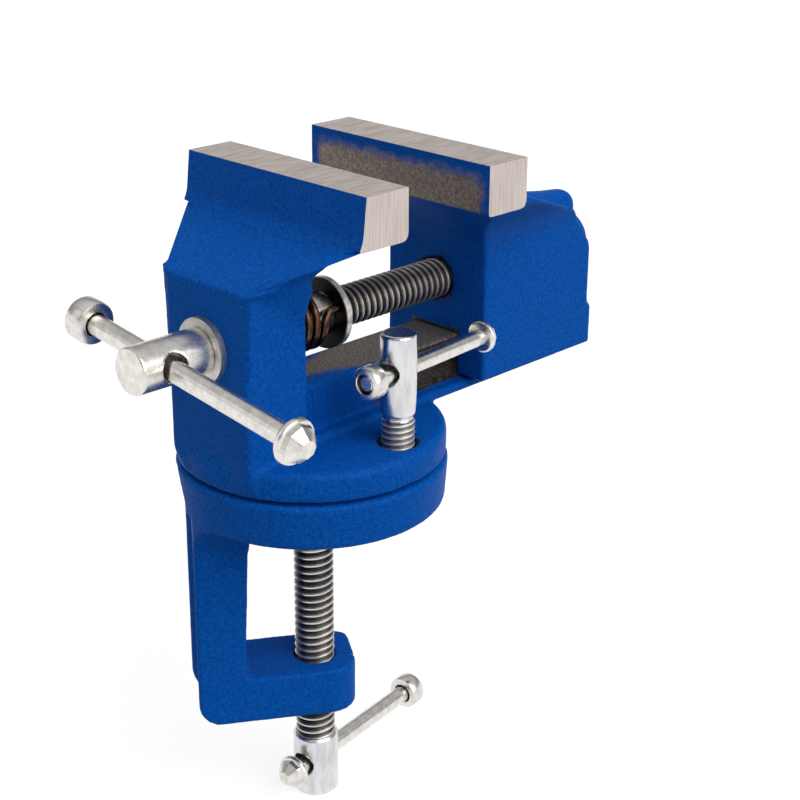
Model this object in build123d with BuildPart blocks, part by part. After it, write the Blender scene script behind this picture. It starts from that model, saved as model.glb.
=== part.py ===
from build123d import *
import os
from math import asin, cos, pi, radians, sin, sqrt

os.makedirs("parts", exist_ok=True)

# Frame: X runs along the jaws, Y along the main screw away from its handle, Z up.
# The origin is on the swivel axis, at the underside of the base that sits on the table.

# Clearances
running_fit = 0.08
slide_fit = 0.10
seat_gap = 0.05
press_gap = 0.02
free_gap = 0.30

# Swivel base, lower half
seat_radius = 32.3
base_radius = 33.0
base_height = 11.0
base_edge = 0.8
land_radius = 29.5
rim_gap = 1.0

# Clamp frame below the base
throat_yaw = 57.0
frame_width = 20.0
spine_inner = 17.0
spine_outer = 30.5
spine_draft = 1.8
throat_height = 45.5
arm_thickness = 12.3
arm_reach = 9.8
arm_corner = 7.0
heel_corner = 6.0
inner_corner = 1.5
gusset_height = 10.0
gusset_width = 11.0
gusset_bulge = 0.29
groove_radius = 11.0
groove_depth = 3.6
groove_start = 14.0
groove_runout_radius = 42.0
groove_runout_share = 0.75

# Swivel base, upper half
turntable_radius = 32.5
turntable_height = 7.0
turntable_edge = 1.8

# Column and fixed jaw
jaw_width = 60.0
jaw_height = 12.1
jaw_top = 81.8
jaw_end_step = 1.0
jaw_foot_edge = 1.6
fixed_face_y = 2.0
fixed_jaw_thickness = 12.5
fixed_jaw_lean = 1.6
column_width = 28.4
column_front_y = -31.6
column_rear_y = -14.0
column_edge = 1.6
slope_foot_drop = 9.2
slope_blend = 6.0
ridge_fall = 0.2
ridge_step = 1.5
ridge_drop = 1.2
arch_height = 19.3
wing_rear_y = -7.0
wing_rise = 9.0
web_lean = 0.73
web_clearance = 1.9
web_width = 24.0
flare_slope = 0.727
flare_radius = 12.0
foot_taper_height = 9.0
foot_taper_width = 2.6

# Rail that carries the moving jaw
rail_width = 15.4
rail_height = 13.0
rail_end_y = 78.0
foot_width = 22.8
foot_height = 1.4
foot_overlap = 1.0
rail_edge = 0.6

# Moving jaw
jaw_opening = 26.4
moving_jaw_thickness = 13.1
body_width = 33.6
body_setback = 14.4
body_rear_setback = 55.8
neck_step = 1.1
neck_height = 18.7
heel_step = 1.4
heel_height = 12.0
body_clearance = 0.8
shoulder_drop = 9.3
shoulder_y = 47.6
shoulder_height = 21.6
shoulder_blend = 9.0
haunch_height = 32.6
haunch_blend = 5.0
barrel_radius = 9.0
barrel_overhang = 10.4
barrel_edge = 3.0
rib_width = 8.0
rib_edge = 3.4
rib_start = 31.6
rib_end_rise = 13.8
rib_corner = 4.0

# Main screw
screw_height = 45.2
screw_diameter = 10.0
head_diameter = 11.0
head_length = 19.0
head_edge = 0.5
thrust_washer_diameter = 15.2
thrust_washer_thickness = 1.6
inner_washer_diameter = 17.4
inner_washer_thickness = 2.0
spring_space = 17.4
clip_diameter = 14.6
clip_thickness = 1.2
clip_groove_diameter = 8.4
clip_slot = 7.0
screw_end_y = 67.0
screw_end_chamfer = 1.2

# Take-up spring round the main screw
spring_wire = 2.0
spring_outer = 15.2
spring_turns = 3
spring_stub = 2.0
spring_bend = 2.8
spring_self_gap = 0.4

# Clamp screw and its pad
clamp_screw_diameter = 10.0
clamp_head_diameter = 11.6
clamp_head_length = 17.0
clamp_head_z = -68.2
clamp_head_edge = 0.8
clamp_tip_diameter = 6.0
clamp_tip_length = 2.4
pad_diameter = 20.0
pad_thickness = 4.0
pad_gap = 5.5
pad_edge = 1.2
pad_dish = 0.8
pad_dish_diameter = 13.0

# Swivel lock screw
lock_x = 23.8
lock_y = 5.5
lock_diameter = 8.0
lock_post_diameter = 8.7
lock_neck_diameter = 7.0
lock_neck_length = 1.0
lock_foot_diameter = 8.0
lock_foot_edge = 0.45
lock_top_diameter = 8.4
lock_post_z = 26.0
lock_post_top = 46.0
lock_post_edge = 0.8
lock_mouth_diameter = 10.4
lock_bar_z = 36.5

# Pivot bolt under the base
bolt_diameter = 8.0
bolt_head_flats = 13.0
bolt_head_height = 4.9
bolt_recess_diameter = 17.2
bolt_recess_depth = 7.0
bolt_washer_diameter = 16.0
bolt_washer_thickness = 1.6
bolt_grip = 14.0

# Sliding bars: diameter, length between knobs, knob diameter and thickness
main_bar_diameter = 5.0
main_bar_span = 71.6
main_collar_gap = 18.2
main_bar_tilt = -6.7
main_bar_inset = 8.4
main_knob_diameter = 10.4
main_knob_thickness = 5.6
lock_bar_diameter = 4.0
lock_bar_span = 42.0
lock_collar_gap = 3.05
lock_bar_yaw = 94.0
lock_knob_diameter = 8.0
lock_knob_thickness = 4.4
clamp_bar_diameter = 4.4
clamp_bar_span = 50.0
clamp_near_gap = 2.0
clamp_bar_yaw = 97.7
clamp_knob_diameter = 8.8
clamp_knob_thickness = 4.8
bar_hole_gap = 0.35
bar_hole_play = 0.5
collar_recess = 0.6
collar_edge = 0.8
head_dome = 0.45

# Heights and places that follow from the driving sizes
land_top = base_height + rim_gap - seat_gap
turntable_bottom = base_height + rim_gap
turntable_top = turntable_bottom + turntable_height
foot_top = turntable_top + foot_height
rail_top = turntable_top + rail_height
jaw_bottom = jaw_top - jaw_height
flare_tip_x = jaw_width / 2 - jaw_end_step
slope_foot = jaw_bottom - slope_foot_drop
web_foot = screw_height + spring_outer / 2 + web_clearance
web_rear_y = column_rear_y + web_lean * (jaw_bottom - web_foot)
neck_foot_z = jaw_bottom - neck_height
moving_face_y = fixed_face_y + jaw_opening
body_front_y = moving_face_y + body_setback
body_rear_y = moving_face_y + body_rear_setback
body_bottom = foot_top + body_clearance
jaw_rear_y = moving_face_y + moving_jaw_thickness
slope_head = (jaw_rear_y, jaw_top - shoulder_drop)
slope_end = (moving_face_y + shoulder_y, jaw_top - shoulder_height)
haunch_end = (body_rear_y, jaw_top - haunch_height)
slope_direction = (slope_end[0] - slope_head[0], slope_end[1] - slope_head[1])
rib_share = (moving_face_y + rib_start - slope_head[0]) / slope_direction[0]
rib_foot = (moving_face_y + rib_start, slope_head[1] + rib_share * slope_direction[1])
barrel_end_y = body_rear_y + barrel_overhang
rib_tip = (barrel_end_y, screw_height + rib_end_rise)
arm_bottom = throat_height + arm_thickness
head_rear_y = column_front_y - thrust_washer_thickness - 2 * seat_gap
head_front_y = head_rear_y - head_length
washer_y = column_rear_y + spring_space
clip_y = washer_y + inner_washer_thickness + seat_gap
main_bar_y = head_front_y + main_bar_inset
clamp_bar_z = clamp_head_z - clamp_head_length / 2
main_bar_slide = main_bar_span / 2 - head_diameter / 2 - main_knob_thickness / 2 - main_collar_gap
lock_bar_slide = lock_bar_span / 2 - lock_post_diameter / 2 - lock_knob_thickness / 2 - lock_collar_gap
clamp_bar_slide = clamp_bar_span / 2 - clamp_head_diameter / 2 - clamp_knob_thickness / 2 - clamp_near_gap
main_bar_low = main_bar_slide - main_bar_span / 2 - main_knob_thickness / 2
main_bar_high = main_bar_slide + main_bar_span / 2 - main_knob_thickness / 2
clamp_bar_low = clamp_bar_slide - clamp_bar_span / 2 - clamp_knob_thickness / 2
clamp_bar_high = clamp_bar_slide + clamp_bar_span / 2 - clamp_knob_thickness / 2
lock_bar_low = lock_bar_slide - lock_bar_span / 2 - lock_knob_thickness / 2
lock_bar_high = lock_bar_slide + lock_bar_span / 2 - lock_knob_thickness / 2
pad_top = -pad_gap
pad_bottom = pad_top - pad_thickness
frame_plane = Plane(
    origin=(0, 0, 0),
    x_dir=(cos(radians(throat_yaw)), sin(radians(throat_yaw)), 0),
    z_dir=(sin(radians(throat_yaw)), -cos(radians(throat_yaw)), 0),
)


def front_outline(half_width, bottom, arched):
    """Closed front view of a jaw casting: a straight body, two arched or straight flares and the jaw."""
    tip = (flare_tip_x, jaw_bottom)
    bend = (half_width, jaw_bottom - flare_slope * (flare_tip_x - half_width))
    arch_foot = (half_width, jaw_bottom - arch_height)
    with BuildLine() as outline:
        Line((0, bottom), (half_width, bottom))
        if arched:
            Line((half_width, bottom), arch_foot)
            TangentArc(arch_foot, tip, tangent=(0, 1))
        else:
            FilletPolyline((half_width, bottom), bend, tip, radius=flare_radius)
        Polyline(tip, (jaw_width / 2, jaw_bottom), (jaw_width / 2, jaw_top), (0, jaw_top))
        mirror(about=Plane.YZ)
    return outline


# Round blends under the base, one on each side of the spine, trimmed to the base's rim
with BuildPart() as base_blends:
    with BuildSketch(Plane(frame_plane.origin, x_dir=frame_plane.z_dir, z_dir=-frame_plane.x_dir)):
        with BuildLine():
            tip = (frame_width / 2 + gusset_width, 0)
            toe = (frame_width / 2, -gusset_height)
            belly = (frame_width / 2 + gusset_width * gusset_bulge, -gusset_height * gusset_bulge)
            ThreePointArc(toe, belly, tip)
            Polyline(tip, (frame_width / 2 + gusset_width, base_height / 2), (0, base_height / 2))
            Polyline((0, base_height / 2), (0, -gusset_height), toe)
        make_face()
        mirror(about=Plane.YZ)
    extrude(amount=spine_outer)
    split(bisect_by=Plane(frame_plane.origin - frame_plane.x_dir * spine_inner, z_dir=-frame_plane.x_dir))
    with BuildSketch(Plane.XY.offset(-gusset_height)):
        Circle(seat_radius)
    extrude(amount=gusset_height + base_height, mode=Mode.INTERSECT)

# Clamp frame: round base, spine and lower arm in one casting
with BuildPart() as clamp_frame:
    with BuildSketch(Plane.XZ):
        with BuildLine():
            Polyline(
                (0, 0),
                (seat_radius, 0),
                (base_radius, base_height),
                (land_radius, base_height),
                (land_radius, land_top),
                (0, land_top),
                close=True,
            )
        make_face()
    revolve(axis=Axis.Z)
    rims = clamp_frame.edges().filter_by(GeomType.CIRCLE).sort_by(SortBy.RADIUS)
    fillet(rims[-2:], base_edge)
    with BuildSketch(frame_plane):
        with BuildLine():
            Polyline(
                (-spine_outer, base_height / 2),
                (-spine_outer, -arm_bottom),
                (arm_reach, -arm_bottom),
                (arm_reach, -throat_height),
                (-spine_inner - spine_draft, -throat_height),
                (-spine_inner, 0),
                (-spine_inner, base_height / 2),
                close=True,
            )
        make_face()
        fillet(vertices().sort_by_distance((-spine_outer, -arm_bottom))[0], heel_corner)
        fillet(vertices().sort_by_distance((-spine_inner - spine_draft, -throat_height))[0], inner_corner)
    extrude(amount=frame_width / 2, both=True)
    arm_edges = clamp_frame.edges().filter_by(Axis.Z).sort_by(Axis((0, 0, 0), frame_plane.x_dir))
    fillet(arm_edges[-2:], arm_corner)
    add(base_blends.part)
    with BuildLine(frame_plane) as groove_path:
        groove_axis = -spine_outer + groove_depth - groove_radius
        runout = groove_runout_radius * groove_runout_share
        swing = asin(runout / groove_runout_radius)
        Line((groove_axis, -arm_bottom - groove_radius), (groove_axis, -groove_start))
        TangentArc(
            (groove_axis, -groove_start),
            (groove_axis - groove_runout_radius * (1 - cos(swing)), runout - groove_start),
            tangent=(0, 1),
        )
    with BuildSketch(Plane(groove_path.line @ 0, z_dir=(0, 0, 1))):
        Circle(groove_radius)
    sweep(path=groove_path.line, mode=Mode.SUBTRACT)
    with BuildSketch(Plane.XY):
        Circle(bolt_recess_diameter / 2)
    extrude(amount=bolt_recess_depth, mode=Mode.SUBTRACT)
    with BuildSketch(Plane.XY):
        Circle(bolt_diameter / 2 + running_fit)
    extrude(amount=land_top, mode=Mode.SUBTRACT)
    with BuildSketch(Plane.XY.offset(-arm_bottom)):
        Circle(clamp_screw_diameter / 2 + slide_fit)
    extrude(amount=arm_thickness, mode=Mode.SUBTRACT)
clamp_frame.part.label = "clamp_frame"
export_step(clamp_frame.part, "parts/clamp_frame.step")

# Fixed jaw, column, turntable and rail in one casting
with BuildPart() as fixed_jaw:
    with BuildSketch(Plane.YZ):
        with BuildLine():
            jaw_front_y = fixed_face_y - fixed_jaw_thickness
            wing_foot = (column_rear_y, jaw_bottom - wing_rise)
            wing_tip = (wing_rear_y, jaw_bottom)
            Polyline(
                wing_foot,
                (column_rear_y, turntable_bottom),
                (column_front_y, turntable_bottom),
                (column_front_y, slope_foot),
                (jaw_front_y - fixed_jaw_lean, jaw_bottom),
                (jaw_front_y, jaw_top),
                (fixed_face_y, jaw_top),
                (fixed_face_y, jaw_bottom),
                wing_tip,
            )
            TangentArc(wing_foot, wing_tip, tangent=(0, 1))
        make_face()
        fillet(vertices().sort_by_distance((jaw_front_y - fixed_jaw_lean, jaw_bottom))[0], slope_blend)
        fillet(vertices().sort_by_distance((fixed_face_y, jaw_bottom))[0], jaw_foot_edge)
    extrude(amount=jaw_width / 2, both=True)
    with BuildSketch(Plane.XZ):
        add(front_outline(column_width / 2, turntable_bottom, True))
        make_face()
    extrude(amount=-column_front_y + fixed_face_y, both=True, mode=Mode.INTERSECT)
    with BuildSketch(Plane.XZ.offset(-column_front_y)):
        with BuildLine():
            ridge_run = jaw_front_y - fixed_jaw_lean - column_front_y
            ridge_foot = (column_width / 2, slope_foot - ridge_drop)
            ridge_tip = (flare_tip_x, jaw_bottom - ridge_step + ridge_fall * ridge_run)
            arch_foot_z = jaw_bottom - arch_height
            Polyline(
                ridge_foot,
                ridge_tip,
                (flare_tip_x, arch_foot_z),
                (column_width / 2, arch_foot_z),
                close=True,
            )
        make_face()
        mirror(about=Plane.YZ)
    extrude(amount=ridge_run, dir=(0, 1, -ridge_fall), mode=Mode.SUBTRACT)
    column_edges = fixed_jaw.faces().sort_by(Axis.Y)[0].edges().filter_by(Axis.X, reverse=True)
    fillet(column_edges, column_edge)
    with BuildSketch(Plane.YZ):
        with BuildLine():
            TangentArc((column_rear_y, web_foot), (web_rear_y, jaw_bottom), tangent=(0, 1))
            Polyline((web_rear_y, jaw_bottom), (column_rear_y, jaw_bottom), (column_rear_y, web_foot))
        make_face()
    extrude(amount=web_width / 2, both=True)
    with BuildSketch(Plane.XZ):
        with BuildLine():
            foot_reach = -column_front_y + column_width
            Polyline(
                (turntable_radius, turntable_bottom),
                (turntable_radius + foot_taper_width, turntable_bottom + foot_taper_height),
                (foot_reach, turntable_bottom + foot_taper_height),
                (foot_reach, turntable_bottom),
                close=True,
            )
        make_face()
    revolve(axis=Axis.Z, mode=Mode.SUBTRACT)
    with BuildSketch(Plane.XZ):
        with BuildLine():
            Polyline(
                (0, turntable_bottom),
                (turntable_radius, turntable_bottom),
                (turntable_radius, turntable_top),
                (0, turntable_top),
                close=True,
            )
        make_face()
        fillet(vertices().sort_by_distance((turntable_radius, turntable_top))[0], turntable_edge)
    revolve(axis=Axis.Z)
    with BuildSketch(Plane.XZ.offset(-column_rear_y)):
        with Locations((0, (foot_top + turntable_top - foot_overlap) / 2)):
            Rectangle(foot_width, foot_height + foot_overlap)
        with Locations((0, (rail_top + turntable_top) / 2)):
            Rectangle(rail_width, rail_height)
        rail_corners = vertices().group_by(Axis.Y)[-1]
        fillet(rail_corners, rail_edge)
    extrude(amount=-(rail_end_y - column_rear_y))
    with BuildSketch(Plane.XZ):
        with Locations((0, screw_height)):
            Circle(screw_diameter / 2 + running_fit)
    extrude(amount=-column_front_y, mode=Mode.SUBTRACT)
    with BuildSketch(Plane.XY.offset(turntable_bottom)):
        Circle(bolt_diameter / 2 + press_gap)
    extrude(amount=bolt_grip, mode=Mode.SUBTRACT)
    with BuildSketch(Plane.XY.offset(turntable_bottom)):
        with Locations((lock_x, lock_y)):
            Circle(lock_diameter / 2 + running_fit)
    extrude(amount=turntable_height, mode=Mode.SUBTRACT)
    mouth_depth = (lock_mouth_diameter - lock_diameter) / 2
    with BuildSketch(Plane.XY.offset(turntable_top - mouth_depth)):
        with Locations((lock_x, lock_y)):
            Circle(lock_diameter / 2)
    with BuildSketch(Plane.XY.offset(turntable_top)):
        with Locations((lock_x, lock_y)):
            Circle(lock_mouth_diameter / 2)
    loft(mode=Mode.SUBTRACT)
fixed_jaw.part.label = "fixed_jaw"
export_step(fixed_jaw.part, "parts/fixed_jaw.step")

# Rib on the back of the moving jaw: it leaves the slope in an arc and ends over the barrel
with BuildPart() as back_rib:
    with BuildSketch(Plane.YZ):
        with BuildLine():
            Polyline(rib_foot, (rib_foot[0], screw_height), (barrel_end_y, screw_height), rib_tip)
            TangentArc(rib_foot, rib_tip, tangent=slope_direction)
        make_face()
        fillet(vertices().sort_by_distance(rib_tip)[0], rib_corner)
    extrude(amount=rib_width / 2, both=True)
    rib_sides = back_rib.faces().filter_by(Axis.X).edges()
    rib_rims = rib_sides.group_by(Axis.Y)[1:]
    fillet([rim for group in rib_rims for rim in group if rim.center().Z > screw_height], rib_edge)

# Moving jaw: a body that straddles the rail, the overhanging jaw, and the barrel over the screw
with BuildPart() as moving_jaw:
    with BuildSketch(Plane.YZ):
        with BuildLine():
            neck_foot = (body_front_y, neck_foot_z)
            neck_tip = (moving_face_y + neck_step, jaw_bottom)
            TangentArc(neck_foot, neck_tip, tangent=(0, 1))
            Polyline(
                neck_tip,
                (moving_face_y, jaw_bottom),
                (moving_face_y, jaw_top),
                (jaw_rear_y, jaw_top),
                slope_head,
                slope_end,
                haunch_end,
                (body_rear_y, body_bottom + heel_height),
                (body_rear_y + heel_step, body_bottom + heel_height - heel_step),
                (body_rear_y + heel_step, body_bottom),
                (body_front_y, body_bottom),
                neck_foot,
            )
        make_face()
        fillet(vertices().sort_by_distance(slope_end)[0], shoulder_blend)
        fillet(vertices().sort_by_distance(haunch_end)[0], haunch_blend)
    extrude(amount=jaw_width / 2, both=True)
    with BuildSketch(Plane.XZ):
        add(front_outline(body_width / 2, body_bottom, False))
        make_face()
    extrude(amount=-(body_rear_y + heel_step), mode=Mode.INTERSECT)
    for side in (1, -1):
        with BuildSketch(Plane.YZ.offset(side * (jaw_width / 2 - jaw_end_step))):
            with BuildLine():
                land_foot = (jaw_rear_y - jaw_foot_edge, jaw_bottom)
                land_rear = (jaw_rear_y, jaw_bottom + jaw_foot_edge)
                TangentArc(land_foot, land_rear, tangent=(1, 0))
                Polyline(land_rear, (jaw_rear_y, jaw_top), (body_rear_y, jaw_top))
                Polyline((body_rear_y, jaw_top), (body_rear_y, jaw_bottom), land_foot)
            make_face()
        extrude(amount=side * jaw_end_step, mode=Mode.SUBTRACT)
    with BuildSketch(Plane.XZ.offset(-body_front_y)):
        with Locations((0, screw_height)):
            Circle(barrel_radius)
    extrude(amount=-(barrel_end_y - body_front_y))
    barrel_rim = moving_jaw.edges().filter_by(GeomType.CIRCLE).sort_by(Axis.Y)[-1]
    fillet(barrel_rim, barrel_edge)
    add(back_rib.part)
    with BuildSketch(Plane.XZ.offset(-body_front_y)):
        with Locations((0, (body_bottom + rail_top + slide_fit) / 2)):
            Rectangle(rail_width + 2 * slide_fit, rail_top + slide_fit - body_bottom)
    extrude(amount=-(body_rear_y + heel_step - body_front_y), mode=Mode.SUBTRACT)
    with BuildSketch(Plane.XZ.offset(-moving_face_y)):
        with Locations((0, screw_height)):
            Circle(screw_diameter / 2 + slide_fit)
    extrude(amount=-(barrel_end_y - moving_face_y), mode=Mode.SUBTRACT)
moving_jaw.part.label = "moving_jaw"
export_step(moving_jaw.part, "parts/moving_jaw.step")

# Main screw: turned head with a cross hole, plain thread envelope and a groove for the clip
main_bar_plane = Plane(
    origin=(0, main_bar_y, screw_height),
    x_dir=(0, 1, 0),
    z_dir=(cos(radians(main_bar_tilt)), 0, sin(radians(main_bar_tilt))),
)
with BuildPart() as main_screw:
    with BuildSketch(Plane.XZ.offset(-head_front_y)):
        with Locations((0, screw_height)):
            Circle(head_diameter / 2)
    extrude(amount=-head_length)
    fillet(main_screw.edges().group_by(Axis.Y)[0], head_edge)
    with BuildSketch(Plane.XZ.offset(-head_rear_y)):
        with Locations((0, screw_height)):
            Circle(screw_diameter / 2)
    extrude(amount=head_rear_y - screw_end_y)
    chamfer(main_screw.edges().group_by(Axis.Y)[-1], screw_end_chamfer)
    with BuildSketch(Plane.XZ.offset(-clip_y + seat_gap)):
        with Locations((0, screw_height)):
            Circle(head_diameter / 2)
            Circle(clip_groove_diameter / 2, mode=Mode.SUBTRACT)
    extrude(amount=-clip_thickness - 2 * seat_gap, mode=Mode.SUBTRACT)
    with BuildSketch(main_bar_plane):
        with Locations((0, bar_hole_play)):
            Circle(main_bar_diameter / 2 + bar_hole_gap + bar_hole_play)
    extrude(amount=head_diameter, both=True, mode=Mode.SUBTRACT)
main_screw.part.label = "main_screw"
export_step(main_screw.part, "parts/main_screw.step")

with BuildPart() as thrust_washer:
    with BuildSketch(Plane.XZ.offset(-head_rear_y - seat_gap)):
        with Locations((0, screw_height)):
            Circle(thrust_washer_diameter / 2)
            Circle(screw_diameter / 2 + free_gap, mode=Mode.SUBTRACT)
    extrude(amount=-thrust_washer_thickness)
thrust_washer.part.label = "thrust_washer"
export_step(thrust_washer.part, "parts/thrust_washer.step")

with BuildPart() as inner_washer:
    with BuildSketch(Plane.XZ.offset(-washer_y)):
        with Locations((0, screw_height)):
            Circle(inner_washer_diameter / 2)
            Circle(screw_diameter / 2 + free_gap, mode=Mode.SUBTRACT)
    extrude(amount=-inner_washer_thickness)
inner_washer.part.label = "inner_washer"
export_step(inner_washer.part, "parts/inner_washer.step")

with BuildPart() as retaining_clip:
    with BuildSketch(Plane.XZ.offset(-clip_y)):
        with Locations((0, screw_height)):
            Circle(clip_diameter / 2)
            Circle(clip_groove_diameter / 2 + press_gap, mode=Mode.SUBTRACT)
        with Locations((0, screw_height + clip_diameter / 2)):
            Rectangle(clip_slot, clip_diameter, mode=Mode.SUBTRACT)
    extrude(amount=-clip_thickness)
retaining_clip.part.label = "retaining_clip"
export_step(retaining_clip.part, "parts/retaining_clip.step")


def coil_point(turn, along):
    """Point on the spring's centre line: turns round the screw and distance from the column."""
    radius = (spring_outer - spring_wire) / 2
    swing = 2 * pi * turn
    return Vector(radius * cos(swing), column_rear_y + along, screw_height + radius * sin(swing))


def coil_tangent(turn, rise):
    """Unit direction of the centre line, where rise is the climb in one turn."""
    round_length = pi * (spring_outer - spring_wire)
    swing = 2 * pi * turn
    return Vector(-round_length * sin(swing), rise, round_length * cos(swing)).normalized()


def biarc_nodes(start, start_dir, end, end_dir):
    """Middle point and direction of two tangent arcs that join one end to the other."""
    span = end - start
    both = start_dir + end_dir
    spread = 2 * (1 - start_dir.dot(end_dir))
    reach = (sqrt(span.dot(both) ** 2 + spread * span.dot(span)) - span.dot(both)) / spread
    first = start + start_dir * reach
    second = end - end_dir * reach
    return (first + second) * 0.5, (second - first).normalized()


# Take-up spring: a straight stub at each end, a bend, and the coils between
spring_length = spring_space - 2 * seat_gap
coil_start = seat_gap + spring_stub + spring_bend
coil_rise = (spring_length - 2 * (spring_stub + spring_bend)) / spring_turns
bend_turn = spring_bend / (pi * (spring_outer - spring_wire))
spring_ends = [
    (coil_point(-bend_turn, seat_gap + spring_stub), Vector(0, 1, 0)),
]
for quarter in range(4 * spring_turns + 1):
    turn = quarter / 4
    spring_ends.append((coil_point(turn, coil_start + coil_rise * turn), coil_tangent(turn, coil_rise)))
spring_ends.append(
    (coil_point(spring_turns + bend_turn, spring_length + seat_gap - spring_stub), Vector(0, 1, 0))
)
with BuildPart() as take_up_spring:
    with BuildLine() as spring_path:
        Line(spring_ends[0][0] - Vector(0, spring_stub, 0), spring_ends[0][0])
        for here, there in zip(spring_ends, spring_ends[1:]):
            middle, middle_dir = biarc_nodes(here[0], here[1], there[0], there[1])
            TangentArc(here[0], middle, tangent=here[1])
            TangentArc(middle, there[0], tangent=middle_dir)
        Line(spring_ends[-1][0], spring_ends[-1][0] + Vector(0, spring_stub, 0))
    with BuildSketch(Plane(spring_path.line @ 0, z_dir=(0, 1, 0))):
        Circle(spring_wire / 2)
    sweep(path=spring_path.line)
take_up_spring.part.label = "take_up_spring"
export_step(take_up_spring.part, "parts/take_up_spring.step")

# Least distance between two runs of the spring wire that aren't neighbours along it
spring_centre = spring_path.wire()
spring_steps = 400
spring_samples = [spring_centre @ (step / spring_steps) for step in range(spring_steps + 1)]
neighbour_steps = int(spring_steps * pi * spring_wire / spring_centre.length) + 1
least_gap = min(
    (spring_samples[one] - spring_samples[two]).length - spring_wire
    for one in range(spring_steps + 1)
    for two in range(one + neighbour_steps, spring_steps + 1)
)
tightest_arc = min(edge.radius for edge in spring_path.edges().filter_by(GeomType.CIRCLE))
print("spring self gap", round(least_gap, 3), "tightest arc", round(tightest_arc, 3))
assert least_gap > spring_self_gap
assert tightest_arc > spring_wire

# Main bar: one formed head, and a collar pressed on the other end
with BuildPart() as main_bar:
    with BuildSketch(main_bar_plane.offset(main_bar_low + collar_recess)):
        Circle(main_bar_diameter / 2)
    extrude(amount=main_bar_span - collar_recess)
    with BuildSketch(main_bar_plane.offset(main_bar_high)):
        Circle(main_knob_diameter / 2)
    extrude(amount=main_knob_thickness)
    fillet(main_bar.edges().filter_by(GeomType.CIRCLE).sort_by(Axis.X)[-1], main_knob_thickness * head_dome)
main_bar.part.label = "main_bar"
export_step(main_bar.part, "parts/main_bar.step")

with BuildPart() as main_bar_collar:
    with BuildSketch(main_bar_plane.offset(main_bar_low)):
        Circle(main_knob_diameter / 2)
    extrude(amount=main_knob_thickness)
    fillet(main_bar_collar.edges().filter_by(GeomType.CIRCLE), collar_edge)
    with BuildSketch(main_bar_plane.offset(main_bar_low)):
        Circle(main_bar_diameter / 2 + press_gap)
    extrude(amount=main_knob_thickness, mode=Mode.SUBTRACT)
main_bar_collar.part.label = "main_bar_collar"
export_step(main_bar_collar.part, "parts/main_bar_collar.step")

# Clamp screw and pad
clamp_bar_plane = Plane(
    origin=(0, 0, clamp_bar_z),
    x_dir=(0, 0, 1),
    z_dir=(cos(radians(clamp_bar_yaw)), sin(radians(clamp_bar_yaw)), 0),
)
with BuildPart() as clamp_screw:
    with BuildSketch(Plane.XY.offset(clamp_head_z - clamp_head_length)):
        Circle(clamp_head_diameter / 2)
    extrude(amount=clamp_head_length)
    fillet(clamp_screw.edges().group_by(Axis.Z)[0], clamp_head_edge)
    clamp_shoulder = (clamp_head_diameter - clamp_screw_diameter) / 2 - press_gap
    chamfer(clamp_screw.edges().group_by(Axis.Z)[-1], clamp_shoulder)
    with BuildSketch(Plane.XY.offset(clamp_head_z)):
        Circle(clamp_screw_diameter / 2)
    extrude(amount=pad_bottom - seat_gap - clamp_head_z)
    with BuildSketch(Plane.XY.offset(pad_bottom - seat_gap)):
        Circle(clamp_tip_diameter / 2)
    extrude(amount=clamp_tip_length)
    with BuildSketch(clamp_bar_plane):
        with Locations((bar_hole_play, 0)):
            Circle(clamp_bar_diameter / 2 + bar_hole_gap + bar_hole_play)
    extrude(amount=clamp_head_diameter, both=True, mode=Mode.SUBTRACT)
clamp_screw.part.label = "clamp_screw"
export_step(clamp_screw.part, "parts/clamp_screw.step")

with BuildPart() as clamp_pad:
    with BuildSketch(Plane.XY.offset(pad_bottom)):
        Circle(pad_diameter / 2)
    extrude(amount=pad_thickness)
    chamfer(clamp_pad.edges().group_by(Axis.Z)[0], pad_edge)
    with BuildSketch(Plane.XY.offset(pad_top - pad_dish)):
        Circle(pad_dish_diameter / 2)
    extrude(amount=pad_dish, mode=Mode.SUBTRACT)
    with BuildSketch(Plane.XY.offset(pad_bottom)):
        Circle(clamp_tip_diameter / 2 + running_fit)
    extrude(amount=clamp_tip_length, mode=Mode.SUBTRACT)
clamp_pad.part.label = "clamp_pad"
export_step(clamp_pad.part, "parts/clamp_pad.step")

with BuildPart() as clamp_bar:
    with BuildSketch(clamp_bar_plane.offset(clamp_bar_low)):
        Circle(clamp_knob_diameter / 2)
    extrude(amount=clamp_knob_thickness)
    head_rim = clamp_bar.edges().filter_by(GeomType.CIRCLE).sort_by(Axis.Y)[0]
    fillet(head_rim, clamp_knob_thickness * head_dome)
    with BuildSketch(clamp_bar_plane.offset(clamp_bar_slide - clamp_bar_span / 2)):
        Circle(clamp_bar_diameter / 2)
    extrude(amount=clamp_bar_span + clamp_knob_thickness / 2 - collar_recess)
clamp_bar.part.label = "clamp_bar"
export_step(clamp_bar.part, "parts/clamp_bar.step")

with BuildPart() as clamp_bar_collar:
    with BuildSketch(clamp_bar_plane.offset(clamp_bar_high)):
        Circle(clamp_knob_diameter / 2)
    extrude(amount=clamp_knob_thickness)
    fillet(clamp_bar_collar.edges().filter_by(GeomType.CIRCLE), collar_edge)
    with BuildSketch(clamp_bar_plane.offset(clamp_bar_high)):
        Circle(clamp_bar_diameter / 2 + press_gap)
    extrude(amount=clamp_knob_thickness, mode=Mode.SUBTRACT)
clamp_bar_collar.part.label = "clamp_bar_collar"
export_step(clamp_bar_collar.part, "parts/clamp_bar_collar.step")

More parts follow.
